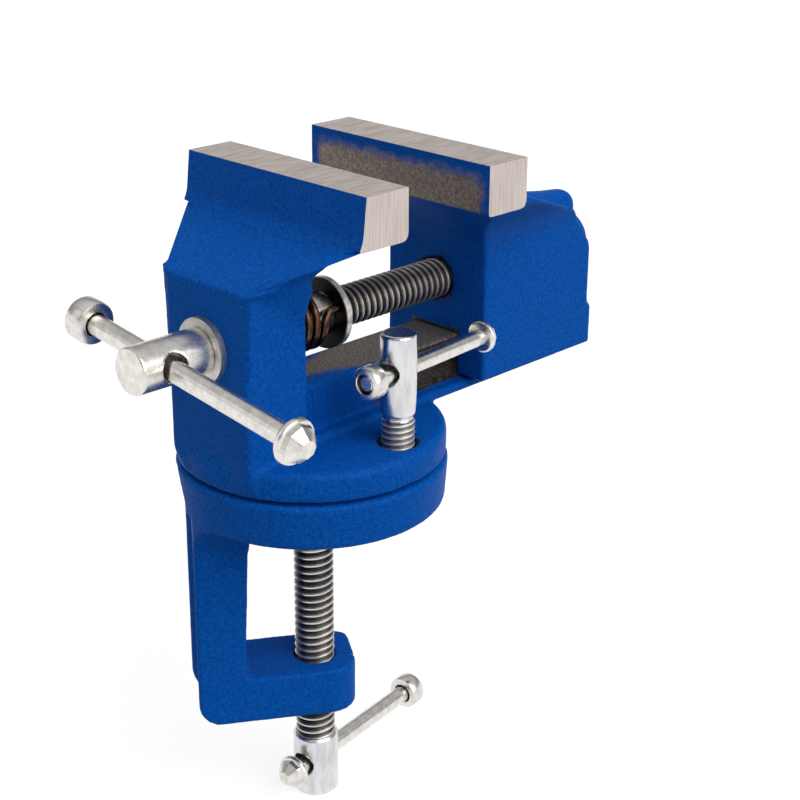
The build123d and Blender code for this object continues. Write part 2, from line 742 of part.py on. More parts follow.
# Swivel lock screw: a threaded stud with a thicker post and a cross bar
lock_bar_plane = Plane(
    origin=(lock_x, lock_y, lock_bar_z),
    x_dir=(0, 0, 1),
    z_dir=(cos(radians(lock_bar_yaw)), sin(radians(lock_bar_yaw)), 0),
)
with BuildPart() as lock_screw:
    with BuildSketch(Plane((lock_x, lock_y, 0), x_dir=(1, 0, 0), z_dir=(0, -1, 0))):
        with BuildLine():
            post_foot = (lock_foot_diameter / 2, lock_post_z)
            post_top = (lock_top_diameter / 2, lock_post_top)
            Polyline(
                post_top,
                (0, lock_post_top),
                (0, land_top + free_gap),
                (lock_diameter / 2, land_top + free_gap),
                (lock_diameter / 2, lock_post_z - lock_neck_length),
                (lock_neck_diameter / 2, lock_post_z - lock_neck_length),
                (lock_neck_diameter / 2, lock_post_z),
                post_foot,
            )
            ThreePointArc(post_foot, (lock_post_diameter / 2, lock_bar_z), post_top)
        make_face()
        fillet(vertices().sort_by_distance(post_foot)[0], lock_foot_edge)
        fillet(vertices().sort_by_distance(post_top)[0], lock_post_edge)
    revolve(axis=Axis((lock_x, lock_y, 0), (0, 0, 1)))
    with BuildSketch(lock_bar_plane):
        with Locations((bar_hole_play, 0)):
            Circle(lock_bar_diameter / 2 + bar_hole_gap + bar_hole_play)
    extrude(amount=lock_post_diameter, both=True, mode=Mode.SUBTRACT)
lock_screw.part.label = "lock_screw"
export_step(lock_screw.part, "parts/lock_screw.step")

with BuildPart() as lock_bar:
    with BuildSketch(lock_bar_plane.offset(lock_bar_high)):
        Circle(lock_knob_diameter / 2)
    extrude(amount=lock_knob_thickness)
    head_rim = lock_bar.edges().filter_by(GeomType.CIRCLE).sort_by(Axis.Y)[-1]
    fillet(head_rim, lock_knob_thickness * head_dome)
    with BuildSketch(lock_bar_plane.offset(lock_bar_slide + lock_bar_span / 2)):
        Circle(lock_bar_diameter / 2)
    extrude(amount=-lock_bar_span - lock_knob_thickness / 2 + collar_recess)
lock_bar.part.label = "lock_bar"
export_step(lock_bar.part, "parts/lock_bar.step")

with BuildPart() as lock_bar_collar:
    with BuildSketch(lock_bar_plane.offset(lock_bar_low)):
        Circle(lock_knob_diameter / 2)
    extrude(amount=lock_knob_thickness)
    fillet(lock_bar_collar.edges().filter_by(GeomType.CIRCLE), collar_edge)
    with BuildSketch(lock_bar_plane.offset(lock_bar_low)):
        Circle(lock_bar_diameter / 2 + press_gap)
    extrude(amount=lock_knob_thickness, mode=Mode.SUBTRACT)
lock_bar_collar.part.label = "lock_bar_collar"
export_step(lock_bar_collar.part, "parts/lock_bar_collar.step")

# Pivot bolt and washer in the recess under the base
bolt_washer_z = bolt_recess_depth - seat_gap - bolt_washer_thickness
with BuildPart() as pivot_bolt:
    with BuildSketch(Plane.XY.offset(bolt_washer_z - seat_gap - bolt_head_height)):
        RegularPolygon(bolt_head_flats / 2, 6, major_radius=False)
    extrude(amount=bolt_head_height)
    with BuildSketch(Plane.XY.offset(bolt_washer_z - seat_gap)):
        Circle(bolt_diameter / 2)
    extrude(amount=turntable_bottom + bolt_grip - free_gap - bolt_washer_z + seat_gap)
pivot_bolt.part.label = "pivot_bolt"
export_step(pivot_bolt.part, "parts/pivot_bolt.step")

with BuildPart() as pivot_washer:
    with BuildSketch(Plane.XY.offset(bolt_washer_z)):
        Circle(bolt_washer_diameter / 2)
        Circle(bolt_diameter / 2 + free_gap, mode=Mode.SUBTRACT)
    extrude(amount=bolt_washer_thickness)
pivot_washer.part.label = "pivot_washer"
export_step(pivot_washer.part, "parts/pivot_washer.step")
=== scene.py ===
# %% [markdown]
# # A clamp-on bench vise
# The vise has three blue castings, bare milled jaws, three screws with sliding bars and a swivel.
# The frame gives every solid at its true size. This lesson dresses those solids: rough cast skins,
# milled faces, turned threads, formed knobs and their finishes.

from math import cos, radians, sin

import bpy
from mathutils import Matrix, Vector


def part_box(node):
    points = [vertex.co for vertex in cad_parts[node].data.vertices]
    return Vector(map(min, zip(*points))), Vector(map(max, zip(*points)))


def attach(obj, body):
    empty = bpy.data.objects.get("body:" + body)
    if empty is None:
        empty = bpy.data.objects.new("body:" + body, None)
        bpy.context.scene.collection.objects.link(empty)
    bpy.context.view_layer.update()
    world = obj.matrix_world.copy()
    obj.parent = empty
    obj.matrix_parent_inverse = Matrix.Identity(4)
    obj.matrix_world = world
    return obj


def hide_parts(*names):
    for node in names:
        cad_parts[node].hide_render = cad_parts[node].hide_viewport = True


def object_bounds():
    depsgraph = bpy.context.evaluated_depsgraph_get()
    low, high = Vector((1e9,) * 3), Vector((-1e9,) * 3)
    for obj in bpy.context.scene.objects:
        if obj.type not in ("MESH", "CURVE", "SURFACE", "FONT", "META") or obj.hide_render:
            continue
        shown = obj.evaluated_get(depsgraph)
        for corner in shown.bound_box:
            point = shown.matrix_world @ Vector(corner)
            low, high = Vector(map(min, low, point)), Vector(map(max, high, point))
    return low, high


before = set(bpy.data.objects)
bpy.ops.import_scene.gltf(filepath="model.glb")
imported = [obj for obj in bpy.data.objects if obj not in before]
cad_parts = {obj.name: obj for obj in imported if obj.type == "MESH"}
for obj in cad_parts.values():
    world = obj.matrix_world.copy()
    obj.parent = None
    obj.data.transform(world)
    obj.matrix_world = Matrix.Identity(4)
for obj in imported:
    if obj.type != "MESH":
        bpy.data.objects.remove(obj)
cad_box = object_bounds()
MM = 0.001
print("solids:", len(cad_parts), "box:", cad_box)

# %% [markdown]
# ## Small tools
# Operators act on whatever is selected, so each step first chooses one piece. A casting starts as a
# copy of its solid: the copy's loose triangles are merged, and the solid itself stays untouched.
# Modifiers are applied at once, so that the mesh is final when it is given to its moving body.

# %% Tools for choosing and copying a piece
MERGE_REACH = 0.001 * MM


def choose(piece):
    """Make one piece the only selected and active object."""
    bpy.ops.object.select_all(action="DESELECT")
    piece.select_set(True)
    bpy.context.view_layer.objects.active = piece


def copy_of(node, name):
    """A merged copy of a solid, to be reworked as a new piece."""
    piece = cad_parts[node].copy()
    piece.data = piece.data.copy()
    piece.name = name
    piece.parent = None
    piece.matrix_world = Matrix.Identity(4)
    piece.data.materials.clear()
    bpy.context.collection.objects.link(piece)
    choose(piece)
    bpy.ops.object.mode_set(mode="EDIT")
    bpy.ops.mesh.select_all(action="SELECT")
    bpy.ops.mesh.remove_doubles(threshold=MERGE_REACH)
    bpy.ops.object.mode_set(mode="OBJECT")
    return piece


def apply_step(piece, kind, **settings):
    """Add one modifier with its settings and apply it."""
    choose(piece)
    step = piece.modifiers.new(kind.title(), kind)
    for setting, value in settings.items():
        setattr(step, setting, value)
    bpy.ops.object.modifier_apply(modifier=step.name)


# %% [markdown]
# Some steps act on a part of a mesh. Its vertices are picked in code, by their place. A cut with a
# plane leaves a hole, so the same operator fills it. The cut's threshold is set far below its usual
# value, which would leave the filled face a tenth of a millimetre off the plane.

# %% Tools for picking, cutting and joining


def pick(piece, test):
    """Enter edit mode with only the vertices selected whose place passes the test."""
    choose(piece)
    bpy.ops.object.mode_set(mode="EDIT")
    bpy.ops.mesh.select_mode(type="VERT")
    bpy.ops.mesh.select_all(action="DESELECT")
    bpy.ops.object.mode_set(mode="OBJECT")
    for vertex in piece.data.vertices:
        vertex.select = test(vertex.co)
    bpy.ops.object.mode_set(mode="EDIT")


CUT_THRESHOLD = 0.0005 * MM


def mill(piece, point, normal):
    """Cut a piece flat at a plane and close the cut, as a milling cutter does."""
    choose(piece)
    bpy.ops.object.mode_set(mode="EDIT")
    bpy.ops.mesh.select_all(action="SELECT")
    bpy.ops.mesh.bisect(
        plane_co=point, plane_no=normal, use_fill=True, clear_outer=True, threshold=CUT_THRESHOLD
    )
    bpy.ops.object.mode_set(mode="OBJECT")


def settle(piece):
    """Put a piece's place, turn and size into its mesh."""
    choose(piece)
    bpy.ops.object.transform_apply(location=True, rotation=True, scale=True)


def smooth_by(piece, angle):
    """Shade a piece smooth, with creases where faces meet at more than this angle in degrees."""
    choose(piece)
    bpy.ops.object.shade_smooth_by_angle(angle=radians(angle))


def join(first, *others):
    """Make several pieces one mesh."""
    choose(first)
    for other in others:
        other.select_set(True)
    bpy.ops.object.join()
    return first


# %% [markdown]
# ## The camera
# The view is from the handle side, along the diagonal between the screw and the jaws, and from a
# little above. A long lens keeps the upright edges nearly parallel. The shift places the lens axis
# where the frame of the picture needs it.

# %% Camera
FRAME_PIXELS = 800
LENS_PIXELS = 1613.7
AXIS_PIXELS = (393.8, 348.5)
AZIMUTH = 44.74
ELEVATION = 20.46
ROLL = 0.36
CAMERA_PLACE = Vector((266.25, -240.72, 170.92)) * MM
SENSOR_WIDTH = 36.0

bpy.ops.object.camera_add()
camera = bpy.context.object
camera.name = "studio_camera"
turn = Matrix.Rotation(radians(AZIMUTH), 4, "Z") @ Matrix.Rotation(radians(90 - ELEVATION), 4, "X")
camera.matrix_world = Matrix.Translation(CAMERA_PLACE) @ turn @ Matrix.Rotation(radians(ROLL), 4, "Z")
camera.data.sensor_width = SENSOR_WIDTH
camera.data.lens = LENS_PIXELS / FRAME_PIXELS * SENSOR_WIDTH
camera.data.shift_x = (FRAME_PIXELS / 2 - AXIS_PIXELS[0]) / FRAME_PIXELS
camera.data.shift_y = (AXIS_PIXELS[1] - FRAME_PIXELS / 2) / FRAME_PIXELS
camera.data.clip_start = 0.01
camera.data.clip_end = 100
bpy.context.scene.camera = camera
print("camera lens", round(camera.data.lens, 2), "shift", camera.data.shift_x, camera.data.shift_y)

# %% [markdown]
# ## Finishes
# Each finish is a Principled shader with a pattern on Object coordinates, so it stays on its piece
# when the piece moves. Paint on a rough casting has a fine grain and a few paler specks. Milled iron
# has lines where the cutter ran. A thread has painted shade in its grooves, with oil on the main
# screw, and is bright on its crests.

# %% Tools for finishes


def new_finish(name, colour, metallic, roughness):
    """A material with a plain colour; returns its node tree, shader and object coordinates too."""
    material = bpy.data.materials.new(name)
    material.use_nodes = True
    tree = material.node_tree
    shader = tree.nodes["Principled BSDF"]
    shader.inputs["Base Color"].default_value = (*colour, 1)
    shader.inputs["Metallic"].default_value = metallic
    shader.inputs["Roughness"].default_value = roughness
    place = tree.nodes.new("ShaderNodeTexCoord")
    return material, tree, shader, place.outputs["Object"]


def add_noise(tree, place, scale, stretch=(1, 1, 1), detail=3.0):
    """A noise pattern with this many features to a metre, stretched along the axes."""
    mapping = tree.nodes.new("ShaderNodeMapping")
    mapping.inputs["Scale"].default_value = stretch
    tree.links.new(place, mapping.inputs["Vector"])
    noise = tree.nodes.new("ShaderNodeTexNoise")
    noise.inputs["Scale"].default_value = scale
    noise.inputs["Detail"].default_value = detail
    tree.links.new(mapping.outputs["Vector"], noise.inputs["Vector"])
    return noise.outputs["Fac"]


def add_ramp(tree, value, stops):
    """Colours by value: each stop is a position and a colour."""
    ramp = tree.nodes.new("ShaderNodeValToRGB")
    while len(ramp.color_ramp.elements) < len(stops):
        ramp.color_ramp.elements.new(0.5)
    for element, (position, colour) in zip(ramp.color_ramp.elements, stops):
        element.position = position
        element.color = (*colour, 1)
    tree.links.new(value, ramp.inputs["Fac"])
    return ramp.outputs["Color"]


def add_bump(tree, shader, height, strength, distance):
    """Small relief from a pattern."""
    bump = tree.nodes.new("ShaderNodeBump")
    bump.inputs["Strength"].default_value = strength
    bump.inputs["Distance"].default_value = distance
    tree.links.new(height, bump.inputs["Height"])
    tree.links.new(bump.outputs["Normal"], shader.inputs["Normal"])


# %% [markdown]
# Patches of bare metal, grease, oil and painted shade lie at known places on the vise. The next tools
# work with numbers from node to node: they take a place apart, do a sum, and turn a number into a
# soft border.

# %% Tools for places and shares


def mix_colours(tree, share, first, second):
    """A mix of two colours by a share; each is an output or a plain colour."""
    mix = tree.nodes.new("ShaderNodeMix")
    mix.data_type = "RGBA"
    tree.links.new(share, mix.inputs["Factor"])
    for socket, colour in zip((mix.inputs[6], mix.inputs[7]), (first, second)):
        if isinstance(colour, tuple):
            socket.default_value = (*colour, 1)
        else:
            tree.links.new(colour, socket)
    return mix.outputs[2]


def add_math(tree, operation, first, second):
    """One sum on two values, each an output or a number."""
    node = tree.nodes.new("ShaderNodeMath")
    node.operation = operation
    for socket, value in zip(node.inputs, (first, second)):
        if isinstance(value, (int, float)):
            socket.default_value = value
        else:
            tree.links.new(value, socket)
    return node.outputs["Value"]


def split_place(tree, place):
    """The three object coordinates as separate values."""
    node = tree.nodes.new("ShaderNodeSeparateXYZ")
    tree.links.new(place, node.inputs["Vector"])
    return node.outputs["X"], node.outputs["Y"], node.outputs["Z"]


def soft_step(tree, value, low, high):
    """From 0 at the low value to 1 at the high value, smoothly."""
    node = tree.nodes.new("ShaderNodeMapRange")
    node.interpolation_type = "SMOOTHSTEP"
    node.inputs["From Min"].default_value = low
    node.inputs["From Max"].default_value = high
    tree.links.new(value, node.inputs["Value"])
    return node.outputs["Result"]


# %% [markdown]
# ### Blue paint
# The castings were painted as they came from the sand, so the paint has a fine grain, a few pale
# specks and an orange-peel skin. A picture could show that, but noise on Object coordinates has no
# seams and stays sharp. The gloss is low, so that the blue stays deep in a white studio.

# %% Blue paint
PAINT_DARK = (0.0009, 0.065, 0.33)
PAINT_MID = (0.0012, 0.085, 0.415)
PAINT_PALE = (0.0028, 0.107, 0.485)
PAINT_SPECK = (0.035, 0.190, 0.60)
PAINT_ROUGHNESS = 0.5
PAINT_GLOSS = 0.04
PAINT_GRAIN = 1300
PAINT_SPECKS = 2400
PEEL_GRAIN = 1200
PEEL_STRENGTH = 0.26
PEEL_HEIGHT = 0.11 * MM


def paint_colour(tree, place):
    """Blue with a fine grain and a few pale specks."""
    grain = add_noise(tree, place, PAINT_GRAIN, detail=4.0)
    grained = add_ramp(tree, grain, [(0.32, PAINT_DARK), (0.50, PAINT_MID), (0.72, PAINT_PALE)])
    specks = soft_step(tree, add_noise(tree, place, PAINT_SPECKS, detail=1.0), 0.68, 0.80)
    return mix_colours(tree, specks, grained, PAINT_SPECK)


def paint_relief(tree, shader, place):
    """The orange-peel skin of paint on a sand casting."""
    add_bump(tree, shader, add_noise(tree, place, PEEL_GRAIN, detail=4.0), PEEL_STRENGTH, PEEL_HEIGHT)


blue_paint, tree, shader, place = new_finish("blue_paint", PAINT_MID, 0.0, PAINT_ROUGHNESS)
shader.inputs["Specular IOR Level"].default_value = PAINT_GLOSS
tree.links.new(paint_colour(tree, place), shader.inputs["Base Color"])
paint_relief(tree, shader, place)
print("paint nodes:", len(tree.nodes))

# %% [markdown]
# ### Milled iron
# The tops and ends of the jaws are milled bare, and the cutter left fine lines there. Noise that is
# stretched along one axis gives such lines, as colour and as a little relief. The tops and the ends
# have their lines in different directions, so each has a finish of its own.

# %% Milled iron
MILLED_PALE = (0.72, 0.64, 0.59)
MILLED_DARK = (0.53, 0.46, 0.42)
MILLED_METALLIC = 0.55
MILLED_ROUGHNESS = 0.45
MILLED_LINES = 900
LINE_STRENGTH = 0.22
LINE_DEPTH = 0.06 * MM


def milled_finish(name, stretch):
    """Milled iron with fine cutter lines; the stretch is small along the lines."""
    material, tree, shader, place = new_finish(name, MILLED_PALE, MILLED_METALLIC, MILLED_ROUGHNESS)
    lines = add_noise(tree, place, MILLED_LINES, stretch=stretch, detail=4.0)
    colours = add_ramp(tree, lines, [(0.32, MILLED_DARK), (0.62, MILLED_PALE)])
    tree.links.new(colours, shader.inputs["Base Color"])
    add_bump(tree, shader, lines, LINE_STRENGTH, LINE_DEPTH)
    return material


milled_top = milled_finish("milled_top", (1.0, 0.16, 1.0))
milled_end = milled_finish("milled_end", (3.0, 3.0, 0.10))
print("milled:", milled_top.name, milled_end.name)

# %% [markdown]
# ### Bare iron in the paint
# The clamping faces keep a border of paint round a bare, grey-brown middle. The rail is bare and grey
# on top. Its sides are painted near the column, and bare and dark further out. Black grease and
# painted shade lie round the bore of the main screw. Each patch is a share from 0 to 1, worked out
# from the place, and noise is added to it so that its edge frays. One finish then mixes paint and
# iron by that share.

# %% Bare iron
BARE_PALE = (0.29, 0.240, 0.212)
BARE_DARK = (0.165, 0.134, 0.118)
RAIL_PALE = (0.29, 0.262, 0.232)
RAIL_DARK = (0.13, 0.114, 0.098)
SIDE_PALE = (0.080, 0.066, 0.058)
SIDE_DARK = (0.022, 0.018, 0.016)
IRON_GRAIN = 1500
IRON_METALLIC = 0.5
IRON_ROUGHNESS = 0.5


def bare_colour(tree, place, dark, pale):
    """Bare iron with pale grains."""
    grain = add_noise(tree, place, IRON_GRAIN, detail=5.0)
    return add_ramp(tree, grain, [(0.40, dark), (0.66, pale)])


def part_painted(name, bare_share, dark, pale):
    """Paint that gives way to bare iron by a share worked out from the place."""
    material, tree, shader, place = new_finish(name, PAINT_MID, 0.0, PAINT_ROUGHNESS)
    shader.inputs["Specular IOR Level"].default_value = PAINT_GLOSS
    share = bare_share(tree, place)
    colours = mix_colours(tree, share, paint_colour(tree, place), bare_colour(tree, place, dark, pale))
    tree.links.new(colours, shader.inputs["Base Color"])
    tree.links.new(add_math(tree, "MULTIPLY", share, IRON_METALLIC), shader.inputs["Metallic"])
    paint_relief(tree, shader, place)
    return material


# %% Patch on a clamping face
PATCH_HALF_WIDTH = 28.2 * MM
PATCH_LOW = 67.0 * MM
PATCH_HIGH = 79.2 * MM
PATCH_FRAY = 3.6 * MM
PATCH_GRAIN = 380


def patch_share(tree, place):
    """1 in the bare middle of a clamping face, 0 in its painted border, with a ragged edge."""
    x, y, z = split_place(tree, place)
    middle = (PATCH_LOW + PATCH_HIGH) / 2
    beside = add_math(tree, "SUBTRACT", PATCH_HALF_WIDTH, add_math(tree, "ABSOLUTE", x, 0.0))
    upright = add_math(tree, "ABSOLUTE", add_math(tree, "SUBTRACT", z, middle), 0.0)
    above = add_math(tree, "SUBTRACT", (PATCH_HIGH - PATCH_LOW) / 2, upright)
    inside = add_math(tree, "SMOOTH_MIN", beside, above)
    inside.node.inputs[2].default_value = PATCH_FRAY
    fray = add_math(tree, "MULTIPLY", add_noise(tree, place, PATCH_GRAIN, detail=7.0), PATCH_FRAY)
    return soft_step(tree, add_math(tree, "ADD", inside, fray), 0.15 * PATCH_FRAY, 1.2 * PATCH_FRAY)


# %% Patches on the rail
RAIL_BARE_Y = 14.0 * MM
RAIL_FRAY = 12.0 * MM
RAIL_GRAIN = 260


def rail_share(tree, place):
    """0 near the column and 1 further out along the rail, with a ragged change between them."""
    x, y, z = split_place(tree, place)
    fray = add_math(tree, "MULTIPLY", add_noise(tree, place, RAIL_GRAIN, detail=5.0), RAIL_FRAY)
    return soft_step(tree, add_math(tree, "ADD", y, fray), RAIL_BARE_Y, RAIL_BARE_Y + RAIL_FRAY)


TOP_BARE_HALF = 4.0 * MM
TOP_WIDENING = 0.3
TOP_FRAY = 5.0 * MM
TOP_GRAIN = 300


def top_share(tree, place):
    """1 along the middle of the rail's top, in a strip that widens away from the column."""
    x, y, z = split_place(tree, place)
    half = add_math(tree, "ADD", add_math(tree, "MULTIPLY", y, TOP_WIDENING), TOP_BARE_HALF)
    inside = add_math(tree, "SUBTRACT", half, add_math(tree, "ABSOLUTE", x, 0.0))
    fray = add_math(tree, "MULTIPLY", add_noise(tree, place, TOP_GRAIN, detail=6.0), TOP_FRAY)
    return soft_step(tree, add_math(tree, "ADD", inside, fray), 0.25 * TOP_FRAY, 0.9 * TOP_FRAY)


# %% Grease and painted shade round the bore, and the finishes with patches
SCREW_Z = 45.2 * MM
# Round the bore: black grease, and painted shade where the bore's mouth is shaded.
GREASE_AND_SHADE_REACH = 6.6 * MM
GREASE_AND_SHADE_FRAY = 2.6 * MM
GREASE_AND_SHADE_GRAIN = 420
GREASE_AND_SHADE_PALE = (0.020, 0.018, 0.017)
GREASE_AND_SHADE_DARK = (0.004, 0.004, 0.005)


def axis_reach(tree, across, beside):
    """Distance from an axis, by the two places across it."""
    squares = add_math(tree, "MULTIPLY", across, across)
    squares = add_math(tree, "ADD", squares, add_math(tree, "MULTIPLY", beside, beside))
    return add_math(tree, "SQRT", squares, 0.0)


def grease_and_shade_share(tree, place):
    """Grease and painted shade round the main screw's bore: 1 near it, 0 further out, ragged."""
    x, y, z = split_place(tree, place)
    inside = axis_reach(tree, x, add_math(tree, "SUBTRACT", z, SCREW_Z))
    inside = add_math(tree, "SUBTRACT", GREASE_AND_SHADE_REACH, inside)
    fray = add_math(tree, "MULTIPLY", add_noise(tree, place, GREASE_AND_SHADE_GRAIN, detail=6.0), GREASE_AND_SHADE_FRAY)
    return soft_step(tree, add_math(tree, "ADD", inside, fray), 0.3 * GREASE_AND_SHADE_FRAY, GREASE_AND_SHADE_FRAY)


worn_face = part_painted("worn_face", patch_share, BARE_DARK, BARE_PALE)
# Black grease and painted shade round the bore, on the moving jaw's neck.
grease_and_shade_face = part_painted("grease_and_shade_face", grease_and_shade_share, GREASE_AND_SHADE_DARK, GREASE_AND_SHADE_PALE)
rail_side = part_painted("rail_side", rail_share, SIDE_DARK, SIDE_PALE)
rail_top = part_painted("rail_top", top_share, RAIL_DARK, RAIL_PALE)
bare_iron, tree, shader, place = new_finish("bare_iron", SIDE_DARK, IRON_METALLIC, IRON_ROUGHNESS)
tree.links.new(bare_colour(tree, place, SIDE_DARK, SIDE_PALE), shader.inputs["Base Color"])
print("patched:", worn_face.name, grease_and_shade_face.name, rail_side.name, rail_top.name, bare_iron.name)

# %% [markdown]
# ### Plated steel, threads and spring
# Bars, posts and heads are plated and mirror the studio. Faint stains and marks keep them from
# looking like plastic. A thread has painted shade in its grooves, with oil on the main screw, and
# is worn bright on its crests, so its colour goes by the distance from the axis of its screw. The
# spring is oily too, and one washer has painted shade on its face towards the spring.

# %% Plated steel
STAIN_GRAIN = 520
MARK_GRAIN = 1600
MARK_ROUGHNESS = 0.16
MARK_STRENGTH = 0.06
MARK_DEPTH = 0.05 * MM


def bright_metal(name, pale, dark, roughness, stretch=(1, 1, 1)):
    """Plated metal with faint stains and fine turning marks."""
    material, tree, shader, place = new_finish(name, pale, 1.0, roughness)
    stains = add_noise(tree, place, STAIN_GRAIN, stretch=stretch, detail=6.0)
    tree.links.new(add_ramp(tree, stains, [(0.30, dark), (0.62, pale)]), shader.inputs["Base Color"])
    marks = add_noise(tree, place, MARK_GRAIN, stretch=stretch, detail=2.0)
    rough_marks = add_math(tree, "MULTIPLY_ADD", marks, MARK_ROUGHNESS)
    rough_marks.node.inputs[2].default_value = roughness - MARK_ROUGHNESS / 2
    tree.links.new(rough_marks, shader.inputs["Roughness"])
    add_bump(tree, shader, marks, MARK_STRENGTH, MARK_DEPTH)
    return material


bright_nickel = bright_metal(
    "bright_nickel", pale=(0.80, 0.77, 0.73), dark=(0.62, 0.59, 0.55), roughness=0.28
)
bright_zinc = bright_metal(
    "bright_zinc", pale=(0.74, 0.74, 0.75), dark=(0.56, 0.56, 0.57), roughness=0.24, stretch=(1, 1, 0.3)
)
dull_zinc = bright_metal(
    "dull_zinc", pale=(0.62, 0.61, 0.585), dark=(0.46, 0.45, 0.43), roughness=0.42
)
# Dark oily steel, also used as painted shade in the seams of the collars.
oil_and_seam_shade = bright_metal(
    "oil_and_seam_shade", pale=(0.060, 0.040, 0.026), dark=(0.018, 0.012, 0.008), roughness=0.45
)
print("plated:", bright_nickel.name, bright_zinc.name, dull_zinc.name, oil_and_seam_shade.name)


# %% Threads
THREAD_METALLIC = 0.9
THREAD_ROUGHNESS = 0.36
WEAR_GRAIN = 1200
WEAR_SHARE = 0.35
WORN_FROM = 0.70
WORN_PAST = 0.1 * MM


def thread_finish(name, axis_place, along_y, groove, crest, minor, major):
    """Painted shade in the grooves and bright crests, by the distance from the screw's axis."""
    material, tree, shader, place = new_finish(name, crest, THREAD_METALLIC, THREAD_ROUGHNESS)
    x, y, z = split_place(tree, place)
    across = add_math(tree, "SUBTRACT", x, axis_place[0])
    beside = add_math(tree, "SUBTRACT", z if along_y else y, axis_place[1])
    reach = axis_reach(tree, across, beside)
    depth = major - minor
    wear = add_noise(tree, place, WEAR_GRAIN, detail=4.0)
    wear = add_math(tree, "MULTIPLY", wear, WEAR_SHARE * depth)
    worn = add_math(tree, "ADD", reach, wear)
    # Towards the groove the colour darkens: painted shade, and oil on the main screw.
    level = soft_step(tree, worn, minor + WORN_FROM * depth, major + WORN_PAST)
    tree.links.new(mix_colours(tree, level, groove, crest), shader.inputs["Base Color"])
    return material


# %% Spring, and a washer with painted shade
SPRING_MID = (0.12, 0.065, 0.04)
SPRING_DARK = (0.025, 0.014, 0.009)
SPRING_PALE = (0.17, 0.092, 0.055)
OIL_GRAIN = 500
spring_steel, tree, shader, place = new_finish("spring_steel", SPRING_MID, 1.0, 0.30)
oil = add_noise(tree, place, OIL_GRAIN)
oil_colours = add_ramp(tree, oil, [(0.3, SPRING_DARK), (0.7, SPRING_PALE)])
tree.links.new(oil_colours, shader.inputs["Base Color"])

# The washer's face towards the spring is painted dark: painted shade from the spring and the bore.
WASHER_SHADE_Y = 3.9 * MM
WASHER_BORDER = 0.3 * MM
WASHER_SHADE = (0.012, 0.010, 0.009)
WASHER_MID = (0.6, 0.6, 0.6)
WASHER_DARK = (0.40, 0.40, 0.39)
WASHER_PALE = (0.66, 0.66, 0.65)
WASHER_GRAIN = 700
shaded_washer, tree, shader, place = new_finish("shaded_washer", WASHER_MID, 1.0, 0.35)
washer_y = split_place(tree, place)[1]
unshaded_side = soft_step(tree, washer_y, WASHER_SHADE_Y - WASHER_BORDER, WASHER_SHADE_Y + WASHER_BORDER)
grey = add_ramp(tree, add_noise(tree, place, WASHER_GRAIN), [(0.3, WASHER_DARK), (0.6, WASHER_PALE)])
tree.links.new(mix_colours(tree, unshaded_side, WASHER_SHADE, grey), shader.inputs["Base Color"])
print("finishes:", [m.name for m in bpy.data.materials])

# %% [markdown]
# ## The castings
# A sand casting has soft edges and a skin that is never quite flat; its jaws are then milled. So each
# copy is first made a little too large where the cutter will run, turned into an even skin by a voxel
# remesh, smoothed, roughened, and only then cut flat at the true planes.

# %% A cast skin
SKIN_VOXEL = 0.5 * MM
SKIN_WAVE = 2.4 * MM
SKIN_RELIEF = 0.10 * MM
SKIN_SMOOTHING = 10
SMOOTH_SHARE = 0.5
BLEND_SMOOTHING = 60
FACE_BUDGET = 90000
CAST_CREASE = 40
skin_texture = bpy.data.textures.new("cast_skin", "CLOUDS")
skin_texture.noise_scale = SKIN_WAVE


def group_of(piece, name, test):
    """Name the vertices whose place passes the test, for the modifiers."""
    group = piece.vertex_groups.new(name=name)
    group.add([v.index for v in piece.data.vertices if test(v.co)], 1.0, "REPLACE")


def cast_skin(piece, machined, blended):
    """Give a merged copy the soft edges and uneven skin of a casting, except where it slides."""
    apply_step(piece, "REMESH", mode="VOXEL", voxel_size=SKIN_VOXEL)
    group_of(piece, "skin", lambda c: not machined(c))
    group_of(piece, "blend", blended)
    apply_step(piece, "SMOOTH", factor=SMOOTH_SHARE, iterations=BLEND_SMOOTHING, vertex_group="blend")
    apply_step(piece, "SMOOTH", factor=SMOOTH_SHARE, iterations=SKIN_SMOOTHING, vertex_group="skin")
    apply_step(
        piece,
        "DISPLACE",
        texture=skin_texture,
        texture_coords="LOCAL",
        strength=SKIN_RELIEF,
        mid_level=0.5,
        vertex_group="skin",
    )


def thin_out(piece):
    """Take out small faces where the skin is flat, down to the budget."""
    share = FACE_BUDGET / len(piece.data.polygons)
    if share < 1:
        apply_step(piece, "DECIMATE", ratio=share)


# %% [markdown]
# A jaw gets a little extra metal on its top and ends before the remesh, which rounds every edge. The
# cut at the true plane then takes the rounding away, and the milled edges are sharp. Each face gets
# its finish by its place: on a milled plane, on the rail, in the channel, or paint elsewhere.

# %% Extra metal, milling and painting


def add_stock(piece, test, allowance):
    """Leave extra metal on a face that will be milled."""
    pick(piece, test)
    bpy.ops.transform.translate(value=allowance)
    bpy.ops.object.mode_set(mode="OBJECT")


def paint_faces(piece, materials, chooser):
    """Give a piece its materials, and each face the one that its place and normal ask for."""
    piece.data.materials.clear()
    for material in materials:
        piece.data.materials.append(material)
    for face in piece.data.polygons:
        face.material_index = materials.index(chooser(face.center, face.normal))


JAW_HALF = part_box("moving_jaw")[1][0]
JAW_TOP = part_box("moving_jaw")[1][2]
MOVING_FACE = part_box("moving_jaw")[0][1]
STOCK = 1.6 * MM
JAW_ROOM = 12.5 * MM
TOUCH = 0.02 * MM
FACING = 0.8


def leave_jaw_stock(piece):
    """Extra metal on the top and both ends of a jaw."""
    add_stock(piece, lambda c: c.z > JAW_TOP - TOUCH, (0, 0, STOCK))
    for side in (-1, 1):
        add_stock(
            piece,
            lambda c: c.x * side > JAW_HALF - TOUCH and c.z > JAW_TOP - JAW_ROOM,
            (side * STOCK, 0, 0),
        )


